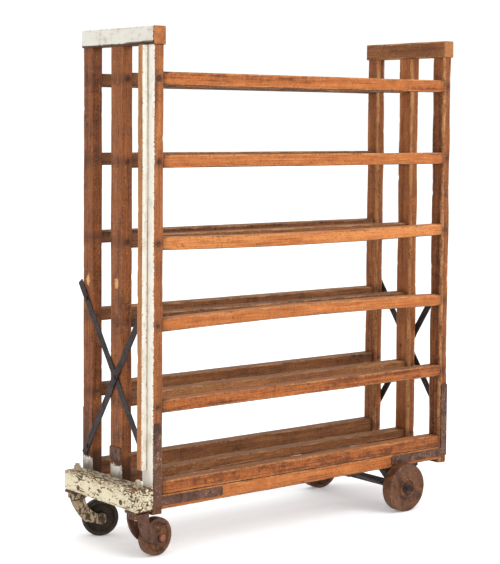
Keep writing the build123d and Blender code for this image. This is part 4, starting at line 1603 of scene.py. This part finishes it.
@dataclass
class Shelf:
    """Three long rails between the end frames, with through tenons."""

    number: int
    palette: Palette
    joint: PostJoint = PostJoint()
    edge: float = 3.2 * MM
    sway: float = 0.6 * MM
    dusty: float = 0.34                 # how much paler the upper faces are
    dark_reach_front: float = 28.0 * MM       # reach of the darkening by the posts
    dark_reach_inner: float = 70.0 * MM
    # the strip of painted shade along the foot of each face
    lower_strip: tuple[float, float] = (1.0 * MM, 9.0 * MM)
    upper_strip: float = 7.0 * MM
    grime_over: float = 0.08
    # painted shade on the underside
    shade_under: float = 0.6
    end_darkening: float = 0.4
    # painted shade along the lowest strip of each face
    shade_lower: float = 0.35
    grime_upper: float = 0.16

    TONES: ClassVar[dict[int, float]] = {1: -1.0, 2: -0.9, 3: 0.4, 4: 1.3, 5: 0.3, 6: -0.2}
    KNOTS: ClassVar[Line] = ((186.0 * MM, 9.0 * MM), (430.0 * MM, 6.0 * MM))

    def build(self) -> None:
        """Builds the three rails."""
        for row in Row:
            self.rail(row)

    def rail(self, row: Row) -> None:
        """A worn rail, grimy along its top and darker by the posts, with painted shade on its
        underside and along the foot of each face.

        A bowed rail rises by its bow times one less the square of the place along it,
        which runs from -1 to 1.

        Args:
            row: which of the three rows it lies in.
        """
        name = f"shelf_{self.number}_{row.name.lower()}_rail"
        low, high, bow = rail_corners(self.number, row)
        tenons = self.joint.tenons(low, high, row)
        start, stop = tenons.start, tenons.stop
        seed = Seed.SHELF_RAIL + 10 * self.number + row.value
        front = row is Row.FRONT
        if front or self.number == 1:
            low[0] += self.joint.painted_over
        timber = Timber(low, high, Axis.X, seed, edge=self.edge, sway=self.sway)
        timber.tenons = tenons
        skin = timber.skin()
        x, z = skin.points[..., 0], skin.points[..., 2].copy()
        part = np.clip((2 * x - start - stop) / (stop - start), -1.0, 1.0)
        skin.points[..., 2] += bow * (1.0 - part**2)
        over = np.clip(skin.outward[..., 2], 0.0, 1.0)
        under = np.clip(-skin.outward[..., 2], 0.0, 1.0)
        dark_reach = self.dark_reach_front if front else self.dark_reach_inner
        near_end = bell(x, start, dark_reach) + bell(x, stop, self.dark_reach_front)
        lower = 1.0 - ease(z, *(low[2] + reach for reach in self.lower_strip))
        upper = ease(z, high[2] - self.upper_strip, high[2])
        # grime on the top faces and along the top, darker by the posts, painted shade
        # underneath and along the lowest strip
        skin.marks["grime_and_shade"] = (
            self.grime_over * over + self.shade_under * under + self.end_darkening * near_end
            + self.shade_lower * lower + self.grime_upper * upper
        )
        skin.marks["dust_wear_and_sheen"] = self.dusty * over
        if front:
            skin.marks["tone"] = np.full_like(z, self.TONES[self.number])
        if front and self.number == 1:
            for place, size in self.KNOTS:
                knot = bell(x, start + place, size) * bell(z, (low[2] + high[2]) / 2, size)
                skin.marks["stain"] += knot
        finish = self.palette.front if front else self.palette.rail
        slot = "orange_wood" if front else "aged_wood"
        settle(skin.to_object("worn_" + name), finish, "cart", slot, name)


@dataclass
class Base:
    """The two sills, and the straps' and rails' fixings."""

    palette: Palette
    joint: PostJoint = PostJoint()
    edge: float = 4.0 * MM
    sway: float = 0.6 * MM
    grime_and_shade: float = 0.5
    grime_reach: float = 14.0 * MM

    def build(self) -> None:
        """Builds the sills and dresses the pegs and fixings."""
        for row in (Row.FRONT, Row.REAR):
            self.sill(row)
        dress(self.palette.peg, "tenon_pegs")
        dress(self.palette.strap, "brace_bolts")
        dress(self.palette.plate, "iron_screws")

    def sill(self, row: Row) -> None:
        """A worn sill with through tenons, darker along its foot.

        Args:
            row: front or rear.
        """
        name = f"{row.name.lower()}_sill"
        low, high = corners(name)
        tenons = self.joint.tenons(low, high, row)
        low[0] += self.joint.painted_over
        seed = Seed.SILL + row.value
        timber = Timber(low, high, Axis.X, seed, edge=self.edge, sway=self.sway)
        timber.tenons = tenons
        skin = timber.skin()
        z = skin.points[..., 2]
        skin.marks["grime_and_shade"] = self.grime_and_shade * (1.0 - ease(z, low[2], low[2] + self.grime_reach))
        finish = self.palette.front if row is Row.FRONT else self.palette.rail
        settle(skin.to_object("worn_" + name), finish, "cart", "orange_wood", name)


@dataclass
class Bolster:
    """The painted beam under the left end, and its bolts."""

    palette: Palette
    edge: float = 7.0 * MM
    sway: float = 1.6 * MM
    slope: float = 8.0 * MM             # how much lower the top's rear edge is
    thin_paint: float = 0.47            # paint lost from the top
    top_step: tuple[float, float] = (0.5, 0.9)
    flaking: float = 0.45               # height above which the paint flakes
    front_flakes: float = 0.6
    front_reach: float = 0.16
    foot_flakes: float = 0.4
    foot_reach: float = 0.15

    def build(self) -> None:
        """A beam whose top slopes from front to rear; cream paint flakes off its top."""
        low, high = corners("bolster_beam")
        timber = Timber(low, high, Axis.Y, Seed.BOLSTER, edge=self.edge, sway=self.sway)
        skin = timber.skin()
        part = (skin.points[..., 1] - low[1]) / (high[1] - low[1])
        height = (skin.points[..., 2] - low[2]) / (high[2] - low[2])
        skin.points[..., 2] -= self.slope * part * height
        over = np.clip(skin.outward[..., 2], 0.0, 1.0)
        skin.marks["coat"] = 1.0 - self.thin_paint * ease(over, *self.top_step)
        skin.marks["flake"] = (
            ease(height, self.flaking, 1.0) ** 2
            + self.front_flakes * bell(part, 0.0, self.front_reach)
            + self.foot_flakes * bell(height, 0.0, self.foot_reach)
        )
        settle(
            skin.to_object("painted_bolster_beam"), self.palette.bolster, "cart",
            "cream_paint", "bolster_beam",
        )
        dress(self.palette.fastener, "bolster_bolts")
        dress(self.palette.nut_cream, "king_bolts", "king_bolt_nuts")


@dataclass
class RubBatten:
    """The upright batten on the left end, white on its front side."""

    palette: Palette
    edge: float = 3.0 * MM
    sway: float = 1.3 * MM
    golden: float = 0.45                # how far the bare outer face is bleached
    paint_step: tuple[float, float] = (0.55, 0.95)

    def build(self) -> None:
        """A worn batten with its outer face bare and its front side painted."""
        low, high = corners("rub_batten")
        timber = Timber(low, high, Axis.Z, Seed.BATTEN, edge=self.edge, sway=self.sway)
        skin = timber.skin()
        skin.marks["coat"] = ease(-skin.outward[..., 1], *self.paint_step)
        skin.marks["dust_wear_and_sheen"] = self.golden * np.clip(-skin.outward[..., 0], 0.0, 1.0)
        settle(
            skin.to_object("worn_rub_batten"), self.palette.post_white, "cart",
            "white_paint", "rub_batten",
        )


@dataclass
class Irons:
    """L-shaped irons at the four lower corners, and the plate on the middle post."""

    palette: Palette
    leg_wide: float = 32.0 * MM
    foot_high: float = 32.0 * MM
    nose: float = 4.0 * MM
    sunk: float = 0.3 * MM              # the screw heads stand this far out of the iron

    def build(self) -> None:
        """Builds the four irons and dresses the plate."""
        for end in End:
            for row in (Row.FRONT, Row.REAR):
                self.corner(end, row)
        dress(self.palette.plate, "post_plate")

    def corner(self, end: End, row: Row) -> None:
        """An L: a leg up the post and a foot along the sill, with clipped corners.

        Args:
            end: left or right.
            row: front or rear.
        """
        name = f"{end.name.lower()}_{row.name.lower()}_corner_iron"
        low, high = corners(name)
        length, tall = high[0] - low[0], high[2] - low[2]
        n, leg, foot = self.nose, self.leg_wide, self.foot_high
        shape = np.array([
            (n, 0), (length - n, 0), (length, n), (length, foot - n), (length - n, foot),
            (leg + n, foot), (leg, foot + n), (leg, tall - n), (leg - n, tall), (n, tall),
            (0, tall - n), (0, n),
        ])
        shape[:, 1] += low[2]
        if end is End.LEFT:
            shape[:, 0] += low[0]
        else:
            shape[:, 0] = high[0] - shape[:, 0]
            shape = shape[::-1]
        sunk = self.sunk * row.value
        piece = flat_plate(
            "forged_" + name, shape, low[1] - min(sunk, 0.0), high[1] - max(sunk, 0.0)
        )
        settle(piece, self.palette.plate, "cart", "strap_iron", name)


@dataclass
class Caster:
    """One swivel caster: fork, wheel and bolt."""

    row: Row
    turn: float
    palette: Palette
    bore: float = 8.2 * MM
    hub: float = 20.5 * MM              # half widths of hub and rim
    rim: float = 18.0 * MM
    hub_radius: float = 20.0 * MM
    pitting: float = 0.25 * MM
    rounds: int = 2

    def profile(self, radius: float) -> np.ndarray:
        """Outline of half the wheel's section and its mirror image, softened.

        Args:
            radius: of the tread.

        Returns:
            (along the axle, radius) corners.
        """
        hub, rim = self.hub, self.rim
        half = np.array([
            (hub, self.bore), (hub, 16.0 * MM), (hub - 3.0 * MM, self.hub_radius),
            (7.0 * MM, 24.0 * MM), (5.5 * MM, 36.0 * MM), (8.0 * MM, 46.0 * MM),
            (rim - 3.0 * MM, 51.0 * MM), (rim, 53.0 * MM), (rim, radius - 3.0 * MM),
            (rim - 2.5 * MM, radius),
        ])
        return soften(np.concatenate([half, half[::-1] * (-1, 1)]), self.rounds)

    def build(self) -> None:
        """A dished wheel with a lipped rim and a raised hub, turned about its axle."""
        side = self.row.name.lower()
        name = f"{side}_caster_wheel"
        low, high = corners(name)
        beta = math.radians(self.turn)
        axle = np.array([-math.sin(beta), math.cos(beta), 0.0])
        profile = self.profile((high[2] - low[2]) / 2)
        seed = Seed.CASTER_WHEEL + self.row.value
        skin = turn_profile(profile, (low + high) / 2, axle, seed, self.pitting)
        front = self.row is Row.FRONT
        # the rear caster's wheel takes the darker copy, painted shade for the bolster's shadow
        finish = self.palette.wheel if front else self.palette.wheel_shaded
        settle(
            skin.to_object("cast_" + name), finish, f"{side}_caster_roller", "rusty_iron", name
        )
        dress(self.palette.cast if front else self.palette.iron_cream, f"{side}_caster_fork")
        bolt = self.palette.rust_bright if front else self.palette.fastener
        dress(bolt, f"{side}_caster_axle_bolt")


@dataclass
class FixedAxle:
    """The axle under the right end, its hangers and its two wheels."""

    palette: Palette
    bore: float = 12.2 * MM
    hub_radius: float = 38.0 * MM
    recess_radius: float = 30.0 * MM
    recess_deep: float = 8.0 * MM
    rim_inset: float = 4.8 * MM
    pitting: float = 0.3 * MM
    rounds: int = 2

    def build(self) -> None:
        """Builds both wheels and dresses the forgings."""
        self.wheel(Row.FRONT)
        self.wheel(Row.REAR)
        dress(self.palette.strap, "fixed_axle", "axle_hangers", "axle_stays")
        dress(self.palette.fastener, "axle_nuts")
        dress(self.palette.cast, "caster_top_plates")

    def profile(self, radius: float, reach: float) -> np.ndarray:
        """Outline of the wheel's section: its outer side, then its inner side.

        Args:
            radius: of the tread.
            reach: half the width over the hub.

        Returns:
            (along the axle, radius) corners, softened.
        """
        rim = reach - self.rim_inset
        outer = np.array([
            (reach - self.recess_deep, self.bore),
            (reach - self.recess_deep, self.recess_radius - 2.0 * MM),
            (reach, self.recess_radius), (reach, self.hub_radius - 3.0 * MM),
            (reach - 4.0 * MM, self.hub_radius), (15.5 * MM, 42.0 * MM),
            (15.0 * MM, 56.0 * MM), (16.5 * MM, 70.0 * MM), (rim - 2.0 * MM, 78.0 * MM),
            (rim, 82.0 * MM), (rim, radius - 3.0 * MM), (rim - 2.5 * MM, radius),
        ])
        inner = np.array([
            (-rim + 2.5 * MM, radius), (-rim, radius - 3.0 * MM), (-rim, 80.0 * MM),
            (-rim + 4.0 * MM, 77.0 * MM), (-7.0 * MM, 70.0 * MM), (-5.0 * MM, 50.0 * MM),
            (-7.0 * MM, 42.0 * MM), (-reach + 3.0 * MM, self.hub_radius),
            (-reach, self.hub_radius - 4.0 * MM), (-reach, self.bore),
        ])
        return soften(np.concatenate([outer, inner]), self.rounds)

    def wheel(self, row: Row) -> None:
        """A dished wheel: lipped rim, thin web with a ring, and a recessed boss.

        Args:
            row: front or rear; the recess faces outwards.
        """
        side = row.name.lower()
        name = f"{side}_axle_wheel"
        low, high = corners(name)
        profile = self.profile((high[2] - low[2]) / 2, (high[1] - low[1]) / 2)
        axle = np.array([0.0, float(row.value), 0.0])
        seed = Seed.AXLE_WHEEL + row.value
        skin = turn_profile(profile, (low + high) / 2, axle, seed, self.pitting)
        settle(
            skin.to_object("cast_" + name), self.palette.wheel, f"{side}_axle_roller",
            "rusty_iron", name,
        )


class Lamp(NamedTuple):
    """A square soft light: its name, place, side in metres and power in watts."""

    name: str
    place: tuple[float, float, float]
    size: float
    power: float


@dataclass
class Studio:
    """Floor, soft light and camera."""

    eye: tuple[float, float, float] = (-3.760, -4.532, 1.491)
    azimuth: float = 38.495
    pitch: float = 3.421
    roll: float = 0.400
    lens: float = 100.0
    sensor: float = 36.0
    shift: tuple[float, float] = (0.0255, -0.1139)
    lit_height: float = 0.8             # the lamps face this height above the floor
    surround: float = 1.06
    floor_half: float = 60.0
    floor_points: int = 9

    LAMPS: ClassVar[tuple[Lamp, ...]] = (
        Lamp("key_light", (1.6, -3.8, 3.6), 3.0, 95.0),
        Lamp("top_light", (-0.4, 0.2, 4.4), 3.5, 45.0),
    )

    def build(self) -> None:
        """Builds the floor, the light and the camera."""
        self.floor()
        for lamp in self.LAMPS:
            self.light(lamp)
        world = bpy.data.worlds.new("white_surround")
        world.use_nodes = True
        backdrop = world.node_tree.nodes["Background"]
        backdrop.inputs["Color"].default_value = (1.0, 1.0, 1.0, 1.0)
        backdrop.inputs["Strength"].default_value = self.surround
        bpy.context.scene.world = world
        bpy.context.scene.view_settings.view_transform = "Standard"
        self.camera()

    def floor(self) -> None:
        """A level grid of points just below the wheels."""
        count = self.floor_points
        line = np.linspace(-self.floor_half, self.floor_half, count)
        x, y = np.meshgrid(line, line, indexing="ij")
        points = np.stack([x, y, np.zeros_like(x)], -1).reshape(-1, 3)
        index = np.arange(count**2).reshape(count, count)
        quads = np.stack([index[:-1, :-1], index[1:, :-1], index[1:, 1:], index[:-1, 1:]], -1)
        mesh = bpy.data.meshes.new("studio_floor")
        mesh.from_pydata(points.tolist(), [], quads.reshape(-1, 4).tolist())
        ground = bpy.data.objects.new("studio_floor", mesh)
        ground.data.materials.append(PaleGround().make())
        bpy.context.scene.collection.objects.link(ground)

    def light(self, lamp: Lamp) -> None:
        """A square soft light that faces the middle of the trolley.

        Args:
            lamp: its name, place, size and power.
        """
        data = bpy.data.lights.new(lamp.name, "AREA")
        data.size, data.energy = lamp.size, lamp.power
        holder = bpy.data.objects.new(lamp.name, data)
        aim = Vector((0.0, 0.0, self.lit_height)) - Vector(lamp.place)
        turn = aim.to_track_quat("-Z", "Y").to_matrix().to_4x4()
        holder.matrix_world = Matrix.Translation(lamp.place) @ turn
        bpy.context.scene.collection.objects.link(holder)

    def camera(self) -> None:
        """Looks along the azimuth and pitch, rolled slightly about the view."""
        turn, tilt, lean = (math.radians(v) for v in (self.azimuth, self.pitch, self.roll))
        ahead = Vector((
            math.sin(turn) * math.cos(tilt), math.cos(turn) * math.cos(tilt), -math.sin(tilt)
        ))
        right = Vector((math.cos(turn), -math.sin(turn), 0.0))
        above = right.cross(ahead)
        level = math.cos(lean) * right + math.sin(lean) * above
        upright = -math.sin(lean) * right + math.cos(lean) * above
        data = bpy.data.cameras.new("studio_camera")
        data.lens, data.sensor_width = self.lens, self.sensor
        data.shift_x, data.shift_y = self.shift
        holder = bpy.data.objects.new("studio_camera", data)
        axes = Matrix((level, upright, -ahead)).transposed().to_4x4()
        holder.matrix_world = Matrix.Translation(self.eye) @ axes
        bpy.context.scene.collection.objects.link(holder)
        bpy.context.scene.camera = holder


FRONT_TURN = 9.0             # how far each caster stands turned, in degrees
REAR_TURN = -24.0


def main() -> None:
    """Builds the studio and every sub-assembly."""
    logging.basicConfig(level=logging.INFO, format="%(message)s")
    Studio().build()
    palette = Palette()
    for end in End:
        EndFrame(end, palette).build()
    for number in range(1, SHELF_COUNT + 1):
        Shelf(number, palette).build()
    Base(palette).build()
    Bolster(palette).build()
    RubBatten(palette).build()
    Irons(palette).build()
    Caster(Row.FRONT, FRONT_TURN, palette).build()
    Caster(Row.REAR, REAR_TURN, palette).build()
    FixedAxle(palette).build()
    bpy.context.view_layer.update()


if __name__ == "__main__":
    main()
